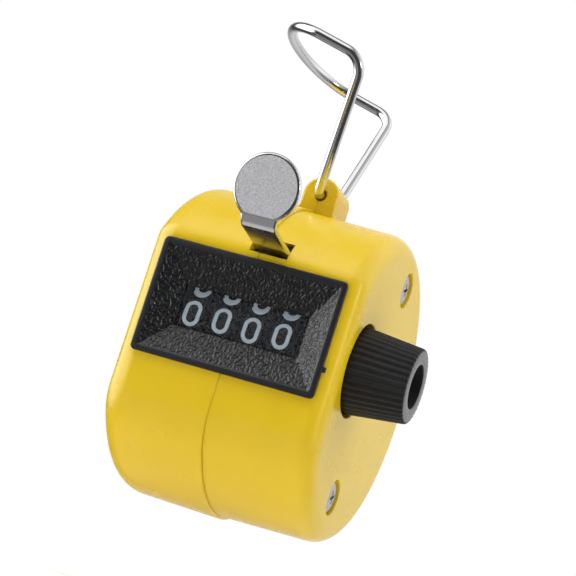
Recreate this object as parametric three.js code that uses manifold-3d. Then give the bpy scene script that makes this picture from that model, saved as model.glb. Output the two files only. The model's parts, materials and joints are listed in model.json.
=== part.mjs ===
// Hand tally counter: a yellow drum-shaped plastic case in two halves, a black display bezel,
// four number wheels with carry pinions, a thumb lever with its pawl, a reset knob and a finger ring.
// Millimetres. +X runs along the drum's axis towards the reset knob, -Y is the display side and +Z is
// the side with the finger ring. The dimensions along X are measured from the seam between the two
// halves; the finished group is moved so that its origin is the centre of the flat left end.

import * as THREE from 'three';
import { mergeVertices } from 'three/addons/utils/BufferGeometryUtils.js';
import Module from 'manifold-3d';

const wasm = await Module();
wasm.setup();

// ---- driving dimensions ----

const FIT = 0.06; // clearance of a running or resting fit
const WALL = 1.8; // thickness of the case wall

// Case: two shells turned about X, with a flat cut on the display side.
const DRUM_RADIUS = 22.5;
const SEAM_STEP = 0.4; // the left half stands proud of the right half at the seam
const DRAFT = 0.25; // each half narrows by this much towards its end
const LEFT_END = -15.6;
const RIGHT_END = 15.3;
const LEFT_FILLET = 3.7;
const RIGHT_FILLET = 2.8;
const FLAT_Y = -18.6; // plane of the flat cut
const SEAM_GAP = 0.05; // between the two halves

// Posts that hold the mechanism frame between the two halves, as [y, z].
const FRAME_POSTS = [[-1.5, 3], [-12.2, -8.2], [-14.2, 9.4]];
const POST_RADIUS = 1.1;

// Bezel, lens and the opening they sit in.
const BEZEL_WIDTH = 26.4;
const BEZEL_HEIGHT = 16;
const BEZEL_Z = 2.9;
const BEZEL_PROUD = 0.6;
const BEZEL_RIM = 0.85;
const BEZEL_PLUG_INSET = 0.9; // the plug is this much smaller than the flange on each side
const BEZEL_PLAY = 0.15; // between the plug and the case's opening
const BEZEL_BACK_Y = -16.5;
const WINDOW_WIDTH = 18;
const WINDOW_HEIGHT = 5.8;
const WINDOW_DROP = 0.35; // the window's centre lies this much below the bezel's
const WINDOW_Y = -17.3;
const LENS_THICKNESS = 0.4;
const LENS_MARGIN = 0.9;

// Main shaft and number wheels.
const SHAFT = { y: -9.3, z: 1.3, r: 1.5 };
const WHEEL_RADIUS = 6.9;
const WHEEL_WIDTH = 3;
const WHEEL_PITCH = 4.32;
const UNITS_X = 5.68; // middle of the units wheel's rim
const WHEEL_NAMES = ['units', 'tens', 'hundreds', 'thousands'];
const HUB_RADIUS = 2.5;
const GEAR_THICKNESS = 0.55;
const LOCK_THICKNESS = 0.35;
const LOCK_RADIUS = 5.2;

// Carry gearing: a 20-tooth gear on a wheel turns an 8-tooth pinion.
const MODULE = 0.6;
const GEAR_TEETH = 20;
const PINION_TEETH = 8;
const ADDENDUM = 0.42;
const DEDENDUM = 0.62;
const TOOTH_AT_ROOT = 0.85; // width of a tooth at its root and tip, with backlash taken off
const TOOTH_AT_TIP = 0.38;
const PINION_BEARING = THREE.MathUtils.degToRad(-53.13); // direction of the pinion shaft seen along X
const PINION_SHAFT_RADIUS = 0.75;

// Mechanism frame.
const PLATE_THICKNESS = 0.8;
const LEFT_PLATE_X = -12.2;
const RIGHT_PLATE_X = 11;
const TIE_RODS = { upper: [-1, 8.6], lower: [-6.6, -11.6] };
const TIE_RADIUS = 1.1;
const TENON_RADIUS = 0.7;

// Thumb lever: a stamped stirrup with two side arms on a pin low in the case.
const PIVOT = { y: -14.2, z: -11, r: 0.9 };
const SHEET = 0.8;
const ARM_WIDTH = 2;
const LEFT_ARM_X = -10.6;
const RIGHT_ARM_X = 9.6;
const STRIP_X = 1.4;
const STRIP_WIDTH = 4.7;
const STRIP_SLOPE = 0.12;
const SLOT_POINT = { y: -18.5, z: 13.05 }; // the strip's middle plane where it passes the case wall
const BEND_Y = -26.4;
const PAD = { y: -27.7, z: 18.7, r: 4.6, tilt: THREE.MathUtils.degToRad(9) };
const SLOT = { low: 12.1, high: 14.95, width: 5.3 };
const BRIDGE = { back: -12.6, front: -15 }; // the crosspiece that joins the strip to its two arms
const EYE_RADIUS = 1.5;
const NECK = 3; // the strip runs on to this far below the middle of the pad

// Reset knob.
const KNOB_INNER_X = 12.4;
const KNOB_TIP_X = 23.4;
const KNOB_BASE_RADIUS = 6;
const KNOB_TIP_RADIUS = 5.15;
const KNOB_RIBS = 24;
const RIB_DEPTH = 0.35;
const KNOB_BORE = { r: 3, depth: 2.6 };
const KNOB_HOLE_RADIUS = 6.5;

// Screws through the right half into the left half, as [y, z].
const SCREWS = [[2.3, 15.5], [-2.4, -15.4]];
const SCREW_HEAD = { r: 1.95, depth: 1.1 };
const SCREW_SHANK_RADIUS = 1;
const SCREW_TIP_X = -9;
const SCREW_POINT = 1; // length of the screw's pointed end
const SCREW_CROSS = { arm: 1.1, half: 0.2, depth: 0.75 };
const RECESS = { r: 2.5, depth: 1.3 };
const BOSS_RADIUS = 2.8;

// Lug and finger ring.
const LUG = { y: 2.4, depth: 7.2, z: 25.1, r: 2.7, root: 4.5 };
const RING_WIRE = 0.72;
const RING_HOLE = 1;
const RING_LEG_Y = 4.75; // from the lug's middle to a leg's wire at the hole
const RING_BEND = { frontX: 3.5, backX: 1.4, y: 14.3, z: 42.8 };
const RING_TIP = { x: -11.7, z: 46.7 };
const RING_CORNER = 3;
const RING_STRAIGHT = 7.5; // straight stretch from a bend towards the tip

// ---- materials ----

const finish = (color, roughness, metalness = 0) =>
  new THREE.MeshStandardMaterial({ color, roughness, metalness });
const yellowPlastic = finish('#e6c21f', 0.22);
const blackPlastic = finish('#17181b', 0.4);
const clearPlastic = finish('#dfe8ea', 0.05);
const wheelPlastic = finish('#101114', 0.25);
const whitePlastic = finish('#e4e2da', 0.5);
const brightSteel = finish('#c3c6ca', 0.25, 1);
const platedSteel = finish('#a9abad', 0.4, 1);
const springSteel = finish('#8d9094', 0.35, 1);

// ---- geometry helpers ----

// Turns a three.js geometry into one closed indexed mesh with its faces pointing out.
function closedMesh(geometry) {
  const bare = geometry.clone();
  bare.deleteAttribute('normal');
  bare.deleteAttribute('uv');
  const merged = mergeVertices(bare, 1e-4);
  const position = merged.getAttribute('position');
  const corner = [new THREE.Vector3(), new THREE.Vector3(), new THREE.Vector3()];
  const triangles = [];
  let volume = 0;
  for (let i = 0; i < merged.index.count; i += 3) {
    const [a, b, c] = [0, 1, 2].map((k) => merged.index.getX(i + k));
    if (a === b || b === c || c === a) continue;
    [a, b, c].forEach((v, k) => corner[k].fromBufferAttribute(position, v));
    volume += corner[0].dot(corner[1].clone().cross(corner[2]));
    triangles.push([a, b, c]);
  }
  const ordered = volume < 0 ? triangles.map(([a, b, c]) => [a, c, b]) : triangles;
  return {
    vertices: new Float32Array(position.array),
    triangles: new Uint32Array(ordered.flat()),
  };
}

function solid(geometry) {
  const { vertices, triangles } = closedMesh(geometry);
  const mesh = new wasm.Mesh({ numProp: 3, vertProperties: vertices, triVerts: triangles });
  return new wasm.Manifold(mesh);
}

function geometryOf(manifold) {
  const mesh = manifold.getMesh();
  const geometry = new THREE.BufferGeometry();
  geometry.setAttribute('position', new THREE.BufferAttribute(new Float32Array(mesh.vertProperties), 3));
  geometry.setIndex(new THREE.BufferAttribute(new Uint32Array(mesh.triVerts), 1));
  geometry.computeVertexNormals();
  return geometry;
}

// A solid turned about the X axis through (y, z). The profile is a list of [x, radius].
function turned(profile, segments, y = 0, z = 0) {
  const points = profile.map(([x, r]) => new THREE.Vector2(r, x));
  const lathe = new THREE.LatheGeometry(points, segments);
  lathe.rotateZ(-Math.PI / 2);
  lathe.translate(0, y, z);
  return solid(lathe);
}

function rod(r, x0, x1, y, z, segments = 16) {
  return turned([[x0, 0], [x0, r], [x1, r], [x1, 0]], segments, y, z);
}

function rodBetween(r, xA, xB, y, z, segments) {
  return rod(r, Math.min(xA, xB), Math.max(xA, xB), y, z, segments);
}

function tube(inner, outer, x0, x1, y, z, segments = 24) {
  return turned([[x0, inner], [x0, outer], [x1, outer], [x1, inner], [x0, inner]], segments, y, z);
}

// A prism along X from x0 to x1. The outline is a Shape, or a list of [y, z].
function prismX(outline, x0, x1, curveSegments = 8) {
  const isList = Array.isArray(outline);
  const shape = isList ? new THREE.Shape(outline.map((point) => new THREE.Vector2(...point))) : outline;
  const prism = new THREE.ExtrudeGeometry(shape, { depth: x1 - x0, bevelEnabled: false, curveSegments });
  const cyclic = new THREE.Matrix4().makeBasis(
    new THREE.Vector3(0, 1, 0),
    new THREE.Vector3(0, 0, 1),
    new THREE.Vector3(1, 0, 0),
  );
  prism.applyMatrix4(cyclic);
  prism.translate(x0, 0, 0);
  return solid(prism);
}

// A box from its lowest to its highest corner.
function block([x0, y0, z0], [x1, y1, z1]) {
  const box = new THREE.BoxGeometry(x1 - x0, y1 - y0, z1 - z0);
  box.translate((x0 + x1) / 2, (y0 + y1) / 2, (z0 + z1) / 2);
  return solid(box);
}

// The outline of a bent strip: a line of [y, z] points given a thickness.
function stripOutline(points, thickness) {
  const path = points.map(([y, z]) => new THREE.Vector2(y, z));
  const sides = [[], []];
  path.forEach((point, i) => {
    const before = point.clone().sub(path[Math.max(i - 1, 0)]).normalize();
    const after = path[Math.min(i + 1, path.length - 1)].clone().sub(point).normalize();
    const along = before.clone().add(after).normalize();
    const reference = after.lengthSq() > 0 ? after : before;
    const reach = thickness / 2 / Math.max(along.dot(reference), 0.5);
    const across = new THREE.Vector2(-along.y, along.x).multiplyScalar(reach);
    sides[0].push(point.clone().add(across));
    sides[1].unshift(point.clone().sub(across));
  });
  return new THREE.Shape([...sides[0], ...sides[1]]);
}

// A wire through given points, with one ring of the sweep at each point.
class Wire extends THREE.Curve {
  constructor(points) {
    super();
    this.points = points;
  }

  getPoint(t, target = new THREE.Vector3()) {
    const place = t * (this.points.length - 1);
    const i = Math.min(Math.floor(place), this.points.length - 2);
    return target.lerpVectors(this.points[i], this.points[i + 1], place - i);
  }

  getPointAt(u, target) {
    return this.getPoint(u, target);
  }

  getTangentAt(u, target = new THREE.Vector3()) {
    const i = Math.round(u * (this.points.length - 1));
    const next = this.points[Math.min(i + 1, this.points.length - 1)];
    return target.subVectors(next, this.points[Math.max(i - 1, 0)]).normalize();
  }
}

function wireSolid(points, radius, sides) {
  const section = new THREE.Shape();
  section.absarc(0, 0, radius, 0, 2 * Math.PI);
  const options = { steps: points.length - 1, curveSegments: sides / 2, extrudePath: new Wire(points) };
  return solid(new THREE.ExtrudeGeometry(section, { ...options, bevelEnabled: false }));
}

// Replaces the corners of a 3-D line by arcs of a given number of steps.
function roundedLine(corners, radius, steps) {
  const line = [corners[0]];
  for (let i = 1; i < corners.length - 1; i++) {
    const corner = corners[i];
    const towardsStart = corners[i - 1].clone().sub(corner);
    const towardsEnd = corners[i + 1].clone().sub(corner);
    const reach = Math.min(radius, towardsStart.length() / 2.1, towardsEnd.length() / 2.1);
    const start = corner.clone().add(towardsStart.setLength(reach));
    const end = corner.clone().add(towardsEnd.setLength(reach));
    const arc = new THREE.QuadraticBezierCurve3(start, corner, end);
    line.push(...arc.getPoints(steps));
  }
  line.push(corners[corners.length - 1]);
  return line;
}

// ---- the assembly ----

const counter = new THREE.Group();

function addPart(name, manifold, material) {
  const mesh = new THREE.Mesh(geometryOf(manifold), material);
  mesh.name = name;
  counter.add(mesh);
}

// ---- case ----

const FAR = 60; // larger than the whole object, for half-spaces

// A turned shell whose display side is pressed flat at flatY, with the same rounded edge as its end.
function flattenedShell(profile, segments, flatY, endRadius) {
  const points = profile.map(([x, r]) => new THREE.Vector2(r, x));
  const lathe = new THREE.LatheGeometry(points, segments, Math.PI / 2);
  lathe.rotateZ(-Math.PI / 2);
  const position = lathe.getAttribute('position');
  for (let i = 0; i < position.count; i++) {
    const radius = Math.hypot(position.getY(i), position.getZ(i));
    const inset = Math.max(endRadius - radius, 0);
    position.setY(i, Math.max(position.getY(i), Math.min(flatY + inset, 0)));
  }
  return solid(lathe);
}

// The half profile of a turned shell from the seam to its end: [x, radius] with a rounded edge.
function shellProfile(seamX, endX, seamRadius, fillet, arcSteps) {
  const side = Math.sign(endX - seamX);
  const endRadius = seamRadius - DRAFT;
  const profile = [[seamX, 0], [seamX, seamRadius]];
  for (let i = 0; i <= arcSteps; i++) {
    const angle = (i / arcSteps) * (Math.PI / 2);
    const x = endX - side * fillet * (1 - Math.sin(angle));
    profile.push([x, endRadius - fillet * (1 - Math.cos(angle))]);
  }
  profile.push([endX, 0]);
  return profile;
}

function lugBody(x0, x1) {
  const shape = new THREE.Shape();
  const rootZ = DRUM_RADIUS - WALL / 2;
  const lean = Math.atan2(LUG.root - LUG.r, LUG.z - rootZ);
  shape.moveTo(-LUG.root, rootZ);
  shape.lineTo(LUG.root, rootZ);
  shape.absarc(0, LUG.z, LUG.r, lean, Math.PI - lean);
  const front = LUG.y - LUG.depth / 2;
  const options = { depth: LUG.depth, bevelEnabled: false, curveSegments: 12 };
  const lug = new THREE.ExtrudeGeometry(shape, options);
  lug.rotateX(Math.PI / 2);
  lug.translate(0, front + LUG.depth, 0);
  return solid(lug).intersect(block([x0, -FAR, rootZ], [x1, FAR, FAR]));
}

function lugHole() {
  const hole = new THREE.CylinderGeometry(RING_HOLE, RING_HOLE, LUG.depth + 4, 16);
  hole.translate(0, LUG.y, LUG.z);
  return solid(hole);
}

function bezelOpening() {
  const halfWidth = BEZEL_WIDTH / 2 - BEZEL_PLUG_INSET + BEZEL_PLAY;
  const halfHeight = BEZEL_HEIGHT / 2 - BEZEL_PLUG_INSET + BEZEL_PLAY;
  return block([-halfWidth, -FAR, BEZEL_Z - halfHeight], [halfWidth, -12, BEZEL_Z + halfHeight]);
}

function leverSlot() {
  const half = SLOT.width / 2;
  return block([STRIP_X - half, -FAR, SLOT.low], [STRIP_X + half, -12.5, SLOT.high]);
}

function caseHalf(side) {
  const left = side < 0;
  const end = left ? LEFT_END : RIGHT_END;
  const fillet = left ? LEFT_FILLET : RIGHT_FILLET;
  const radius = left ? DRUM_RADIUS : DRUM_RADIUS - SEAM_STEP;
  const seam = side * SEAM_GAP / 2;
  const innerEnd = end - side * WALL;
  const outer = flattenedShell(shellProfile(seam, end, radius, fillet, 5), 54, FLAT_Y, radius - DRAFT);
  const inner = DRUM_RADIUS - SEAM_STEP - WALL;
  const cavityProfile = shellProfile(-side, innerEnd, inner, fillet - WALL, 3);
  const cavity = flattenedShell(cavityProfile, 32, FLAT_Y + WALL, inner - DRAFT);
  const lug = left ? lugBody(-FAR, seam) : lugBody(seam, FAR);
  let shell = outer.subtract(cavity).add(lug);
  for (const [y, z] of SCREWS) {
    shell = shell.add(rodBetween(BOSS_RADIUS, seam, innerEnd + side, y, z, 16).intersect(outer));
  }
  const plateFace = left ? LEFT_PLATE_X : RIGHT_PLATE_X + PLATE_THICKNESS;
  const postEnd = plateFace + side * FIT;
  for (const [y, z] of FRAME_POSTS) {
    shell = shell.add(rodBetween(POST_RADIUS, postEnd, innerEnd + side, y, z, 10));
  }
  return shell.subtract(bezelOpening()).subtract(leverSlot()).subtract(lugHole());
}

function leftCase() {
  let shell = caseHalf(-1);
  const pilotEnd = SCREW_TIP_X - 1;
  for (const [y, z] of SCREWS) {
    shell = shell.subtract(rod(SCREW_SHANK_RADIUS + FIT, pilotEnd, 1, y, z, 12));
  }
  return shell;
}

function rightCase() {
  let shell = caseHalf(1);
  for (const [y, z] of SCREWS) {
    shell = shell.subtract(rod(SCREW_SHANK_RADIUS + 0.2, -1, RIGHT_END + 1, y, z, 12));
    shell = shell.subtract(rod(RECESS.r, RIGHT_END - RECESS.depth, RIGHT_END + 1, y, z, 24));
  }
  return shell.subtract(rod(KNOB_HOLE_RADIUS, RIGHT_END - WALL - 1, RIGHT_END + 1, SHAFT.y, SHAFT.z, 36));
}

function caseScrew([y, z]) {
  const headBase = RIGHT_END - RECESS.depth + FIT;
  const headTop = headBase + SCREW_HEAD.depth;
  const profile = [
    [SCREW_TIP_X, 0], [SCREW_TIP_X + SCREW_POINT, SCREW_SHANK_RADIUS],
    [headBase, SCREW_SHANK_RADIUS], [headBase, SCREW_HEAD.r], [headTop - 0.5, SCREW_HEAD.r],
    [headTop - 0.12, SCREW_HEAD.r * 0.7], [headTop, 0],
  ];
  const { arm, half, depth } = SCREW_CROSS;
  const across = block([headTop - depth, y - arm, z - half], [headTop + 1, y + arm, z + half]);
  const upright = block([headTop - depth, y - half, z - arm], [headTop + 1, y + half, z + arm]);
  return turned(profile, 18, y, z).subtract(across).subtract(upright);
}

addPart('left_case', leftCase(), yellowPlastic);
addPart('right_case', rightCase(), yellowPlastic);
SCREWS.forEach((place, i) => addPart(`case_screw_${i ? 'lower' : 'upper'}`, caseScrew(place), platedSteel));

// ---- bezel and lens ----

// A four-sided frustum along Y between two rectangles [halfWidth, lowZ, highZ].
function frustumY(y0, [w0, low0, high0], y1, [w1, low1, high1]) {
  const geometry = new THREE.BoxGeometry(1, 1, 1);
  const position = geometry.getAttribute('position');
  for (let i = 0; i < position.count; i++) {
    const front = position.getY(i) < 0;
    const [w, low, high] = front ? [w0, low0, high0] : [w1, low1, high1];
    const z = position.getZ(i) < 0 ? low : high;
    position.setXYZ(i, Math.sign(position.getX(i)) * w, front ? y0 : y1, z);
  }
  return solid(geometry);
}

const WINDOW_Z = BEZEL_Z - WINDOW_DROP;
const LENS_FRONT_Y = BEZEL_BACK_Y - LENS_THICKNESS - FIT;

function rectangle(width, height, z) {
  return [width / 2, z - height / 2, z + height / 2];
}

function bezel() {
  const front = FLAT_Y - BEZEL_PROUD;
  const flange = rectangle(BEZEL_WIDTH, BEZEL_HEIGHT, BEZEL_Z);
  const plugSize = [BEZEL_WIDTH - 2 * BEZEL_PLUG_INSET, BEZEL_HEIGHT - 2 * BEZEL_PLUG_INSET];
  const plug = rectangle(...plugSize, BEZEL_Z);
  const flangeBack = FLAT_Y - FIT;
  const mouth = rectangle(BEZEL_WIDTH - 2 * BEZEL_RIM, BEZEL_HEIGHT - 2 * BEZEL_RIM, BEZEL_Z);
  const window = rectangle(WINDOW_WIDTH, WINDOW_HEIGHT, WINDOW_Z);
  const lensSeat = rectangle(WINDOW_WIDTH + 2 * LENS_MARGIN, WINDOW_HEIGHT + 2 * LENS_MARGIN, WINDOW_Z);
  const body = frustumY(front, flange, flangeBack, flange)
    .add(frustumY(flangeBack - 0.1, plug, BEZEL_BACK_Y, plug));
  const over = 0.5; // the cutting funnel starts this far in front of the rim, on the same slopes
  const spread = over / (WINDOW_Y - front);
  const widen = mouth.map((value, i) => value + (value - window[i]) * spread);
  return body
    .subtract(frustumY(front - over, widen, WINDOW_Y, window))
    .subtract(frustumY(WINDOW_Y - 0.1, window, BEZEL_BACK_Y + 1, window))
    .subtract(frustumY(LENS_FRONT_Y, lensSeat, BEZEL_BACK_Y + 1, lensSeat));
}

function windowLens() {
  const play = 2 * FIT;
  const size = [WINDOW_WIDTH + 2 * LENS_MARGIN - play, WINDOW_HEIGHT + 2 * LENS_MARGIN - play];
  const outline = rectangle(...size, WINDOW_Z);
  return frustumY(LENS_FRONT_Y + FIT, outline, BEZEL_BACK_Y, outline);
}

addPart('display_bezel', bezel(), blackPlastic);
addPart('window_lens', windowLens(), clearPlastic);

// ---- mechanism frame ----

const PINION_DISTANCE = MODULE * (GEAR_TEETH + PINION_TEETH) / 2;
const PINION_Y = SHAFT.y + PINION_DISTANCE * Math.cos(PINION_BEARING);
const PINION_Z = SHAFT.z + PINION_DISTANCE * Math.sin(PINION_BEARING);

function framePlate(x) {
  const outline = [
    [-15.9, -8.5], [-15.9, 10.8], [-2, 10.8], [1.6, 7.2],
    [1.6, -7.6], [-5, -13.2], [-11, -14.8], [-14.3, -12.9],
  ];
  let plate = prismX(outline, x, x + PLATE_THICKNESS);
  const holes = [
    [SHAFT.y, SHAFT.z, SHAFT.r],
    [PINION_Y, PINION_Z, PINION_SHAFT_RADIUS],
    [PIVOT.y, PIVOT.z, PIVOT.r],
  ];
  for (const rodPlace of Object.values(TIE_RODS)) holes.push([...rodPlace, TENON_RADIUS]);
  for (const [y, z, r] of holes) plate = plate.subtract(rod(r + FIT, x - 1, x + 2, y, z, 14));
  return plate;
}

function tieRod([y, z]) {
  const inner0 = LEFT_PLATE_X + PLATE_THICKNESS + FIT;
  const inner1 = RIGHT_PLATE_X - FIT;
  const profile = [
    [LEFT_PLATE_X, 0], [LEFT_PLATE_X, TENON_RADIUS], [inner0, TENON_RADIUS], [inner0, TIE_RADIUS],
    [inner1, TIE_RADIUS], [inner1, TENON_RADIUS], [RIGHT_PLATE_X + PLATE_THICKNESS, TENON_RADIUS],
    [RIGHT_PLATE_X + PLATE_THICKNESS, 0],
  ];
  return turned(profile, 14, y, z);
}

function throughPin(r, y, z) {
  const end = 0.4;
  return rod(r, LEFT_PLATE_X - end, RIGHT_PLATE_X + PLATE_THICKNESS + end, y, z, 20);
}

addPart('frame_left_plate', framePlate(LEFT_PLATE_X), platedSteel);
addPart('frame_right_plate', framePlate(RIGHT_PLATE_X), platedSteel);
for (const [place, point] of Object.entries(TIE_RODS)) {
  addPart(`frame_tie_rod_${place}`, tieRod(point), platedSteel);
}
addPart('pinion_shaft', throughPin(PINION_SHAFT_RADIUS, PINION_Y, PINION_Z), brightSteel);
addPart('lever_pivot_pin', throughPin(PIVOT.r, PIVOT.y, PIVOT.z), brightSteel);

// ---- gears ----

// The outline of a straight-sided gear about (y, z); phase is the angle of its first tooth.
function gearOutline(teeth, phase, y, z) {
  const pitchRadius = MODULE * teeth / 2;
  const root = pitchRadius - DEDENDUM;
  const tip = pitchRadius + ADDENDUM;
  const rootHalf = TOOTH_AT_ROOT / 2 / root;
  const tipHalf = TOOTH_AT_TIP / 2 / tip;
  const points = [];
  for (let i = 0; i < teeth; i++) {
    const middle = phase + (i / teeth) * 2 * Math.PI;
    const flank = [[root, -rootHalf], [tip, -tipHalf]];
    const back = flank.map(([r, angle]) => [r, -angle]).reverse();
    for (const [r, angle] of [...flank, ...back]) {
      points.push([y + r * Math.cos(middle + angle), z + r * Math.sin(middle + angle)]);
    }
  }
  return points;
}

// A gear tooth points at the pinion, and the pinion has a gap there.
function carryGear(x0, x1) {
  return prismX(gearOutline(GEAR_TEETH, PINION_BEARING, SHAFT.y, SHAFT.z), x0, x1);
}

function carryPinion(wheelX) {
  const gapMiddle = wheelX + WHEEL_PITCH / 2;
  const half = (WHEEL_PITCH - WHEEL_WIDTH) / 2 - 0.1;
  const facing = PINION_BEARING + Math.PI + Math.PI / PINION_TEETH;
  const outline = gearOutline(PINION_TEETH, facing, PINION_Y, PINION_Z);
  const bore = rod(PINION_SHAFT_RADIUS + FIT, gapMiddle - 2, gapMiddle + 2, PINION_Y, PINION_Z, 16);
  return prismX(outline, gapMiddle - half, gapMiddle + half).subtract(bore);
}

// ---- number wheels ----

const WHEEL_SEGMENTS = 30;
const WHEEL_BORE = SHAFT.r + FIT;
const RECESS_RADIUS = LOCK_RADIUS - 0.7;
const WEB = 0.9;

// The rim carries the figures; the recess in its left side holds the reset pawl.
function numberWheel(index) {
  const middle = UNITS_X - index * WHEEL_PITCH;
  const left = middle - WHEEL_WIDTH / 2;
  const right = middle + WHEEL_WIDTH / 2;
  const isUnits = index === 0;
  const isLast = index === WHEEL_NAMES.length - 1;
  const rimFoot = isLast ? [[left, RECESS_RADIUS]] : [
    [left, LOCK_RADIUS], [left - LOCK_THICKNESS, LOCK_RADIUS], [left - LOCK_THICKNESS, RECESS_RADIUS],
  ];
  const profile = [
    [right, WHEEL_BORE], [right, WHEEL_RADIUS], [left, WHEEL_RADIUS], ...rimFoot,
    [right - WEB, RECESS_RADIUS], [right - WEB, HUB_RADIUS], [left, HUB_RADIUS], [left, WHEEL_BORE],
    [right, WHEEL_BORE],
  ];
  let wheel = turned(profile, WHEEL_SEGMENTS, SHAFT.y, SHAFT.z);
  if (!isLast) wheel = wheel.subtract(carryNotch(left));
  if (isUnits) return wheel;
  const gear = carryGear(right - 0.1, right + GEAR_THICKNESS);
  return wheel.add(gear.subtract(rod(WHEEL_BORE, right - 1, right + 1, SHAFT.y, SHAFT.z, WHEEL_SEGMENTS)));
}

// The notch in the locking ring that lets the pinion turn once in a full turn of the wheel.
function carryNotch(left) {
  const angle = PINION_BEARING + Math.PI / 10;
  const y = SHAFT.y + LOCK_RADIUS * Math.cos(angle);
  const z = SHAFT.z + LOCK_RADIUS * Math.sin(angle);
  return rod(0.6, left - 1, left - 0.02, y, z, 10);
}

// A small pawl in the wheel's recess; its nose drops into the shaft's groove when the shaft is turned.
function resetPawl(index) {
  const left = UNITS_X - index * WHEEL_PITCH - WHEEL_WIDTH / 2;
  const middle = (HUB_RADIUS + RECESS_RADIUS) / 2;
  const half = 0.45;
  const [from, to] = [0.15 * Math.PI, 0.95 * Math.PI];
  const shape = new THREE.Shape();
  shape.absarc(SHAFT.y, SHAFT.z, middle + half, from, to);
  shape.absarc(SHAFT.y, SHAFT.z, middle - half, to, from, true);
  return prismX(shape, left + 0.4, left + 1.6, 6);
}

// Ten saw teeth on the right of the units wheel.
const RATCHET = { tip: 5, root: 4.1, x: UNITS_X + WHEEL_WIDTH / 2 + FIT, thickness: 1 };

function ratchetWheel() {
  const teeth = 10;
  const tooth = [[RATCHET.root, 0], [RATCHET.tip, 0.03], [RATCHET.tip, 0.12], [RATCHET.root, 0.55]];
  const points = [];
  for (let i = 0; i < teeth; i++) {
    const angle = ((i + 0.3) / teeth) * 2 * Math.PI;
    for (const [r, turn] of tooth) {
      points.push([SHAFT.y + r * Math.cos(angle + turn), SHAFT.z + r * Math.sin(angle + turn)]);
    }
  }
  const disc = prismX(points, RATCHET.x, RATCHET.x + RATCHET.thickness);
  return disc.subtract(rod(WHEEL_BORE, RATCHET.x - 1, RATCHET.x + 2, SHAFT.y, SHAFT.z, 20));
}

WHEEL_NAMES.forEach((name, index) => {
  addPart(`${name}_wheel`, numberWheel(index), wheelPlastic);
  addPart(`${name}_reset_pawl`, resetPawl(index), springSteel);
});
addPart('ratchet_wheel', ratchetWheel(), whitePlastic);
['tens', 'hundreds', 'thousands'].forEach((name, i) => {
  addPart(`${name}_carry_pinion`, carryPinion(UNITS_X - (i + 1) * WHEEL_PITCH), whitePlastic);
});

// ---- main shaft, spacers and reset knob ----

const SHAFT_LEFT = -13.5;
const CLIP = { x: -12.95, thickness: 0.5, inner: 1.1, outer: 2.5 };

function mainShaft() {
  const grooveRadius = CLIP.inner - FIT;
  const shaftRight = KNOB_TIP_X - KNOB_BORE.depth - 1;
  const profile = [
    [SHAFT_LEFT, 0], [SHAFT_LEFT, SHAFT.r], [CLIP.x - FIT, SHAFT.r], [CLIP.x - FIT, grooveRadius],
    [CLIP.x + CLIP.thickness + FIT, grooveRadius], [CLIP.x + CLIP.thickness + FIT, SHAFT.r],
    [shaftRight, SHAFT.r], [shaftRight, 0],
  ];
  const pickupGroove = block([-9, SHAFT.y - 0.35, SHAFT.z + 1], [7.4, SHAFT.y + 0.35, SHAFT.z + 3]);
  return turned(profile, 20, SHAFT.y, SHAFT.z).subtract(pickupGroove);
}

function retainingClip() {
  const ring = tube(CLIP.inner, CLIP.outer, CLIP.x, CLIP.x + CLIP.thickness, SHAFT.y, SHAFT.z, 24);
  const mouth = block([CLIP.x - 1, SHAFT.y, SHAFT.z - 0.9], [CLIP.x + 1, SHAFT.y + 4, SHAFT.z + 0.9]);
  return ring.subtract(mouth);
}

function spacer(x0, x1) {
  return tube(SHAFT.r + FIT, HUB_RADIUS, x0, x1, SHAFT.y, SHAFT.z);
}

// A tapered knob with straight ribs, a shaft bore behind and a blind hole in its end.
function resetKnob() {
  const tipEdge = 0.5;
  const profile = [
    [KNOB_INNER_X, 0], [KNOB_INNER_X, KNOB_BASE_RADIUS], [RIGHT_END, KNOB_BASE_RADIUS],
    [KNOB_TIP_X - tipEdge, KNOB_TIP_RADIUS], [KNOB_TIP_X, KNOB_TIP_RADIUS - tipEdge], [KNOB_TIP_X, 0],
  ];
  const points = profile.map(([x, r]) => new THREE.Vector2(r, x));
  const lathe = new THREE.LatheGeometry(points, 2 * KNOB_RIBS);
  const position = lathe.getAttribute('position');
  for (let i = 0; i < position.count; i++) {
    const [x, z] = [position.getX(i), position.getZ(i)];
    const radius = Math.hypot(x, z);
    const step = Math.round(Math.atan2(z, x) / (Math.PI / KNOB_RIBS));
    if (radius < KNOB_TIP_RADIUS - tipEdge - 0.1 || step % 2 === 0) continue;
    const scale = (radius - RIB_DEPTH) / radius;
    position.setXYZ(i, x * scale, position.getY(i), z * scale);
  }
  lathe.rotateZ(-Math.PI / 2);
  lathe.translate(0, SHAFT.y, SHAFT.z);
  const shaftEnd = KNOB_TIP_X - KNOB_BORE.depth - 1 + FIT;
  return solid(lathe)
    .subtract(rod(SHAFT.r + FIT, KNOB_INNER_X - 1, shaftEnd, SHAFT.y, SHAFT.z, 28))
    .subtract(rod(KNOB_BORE.r, KNOB_TIP_X - KNOB_BORE.depth, KNOB_TIP_X + 1, SHAFT.y, SHAFT.z, 28));
}

addPart('main_shaft', mainShaft(), brightSteel);
addPart('shaft_clip', retainingClip(), springSteel);
addPart('reset_knob', resetKnob(), blackPlastic);
addPart('left_spacer', spacer(LEFT_PLATE_X + PLATE_THICKNESS + FIT, -8.9), whitePlastic);
addPart('right_spacer', spacer(RATCHET.x + RATCHET.thickness + 0.1, RIGHT_PLATE_X - FIT), whitePlastic);

// ---- thumb lever ----

const stripZ = (y) => SLOT_POINT.z + (SLOT_POINT.y - y) * STRIP_SLOPE;

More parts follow.
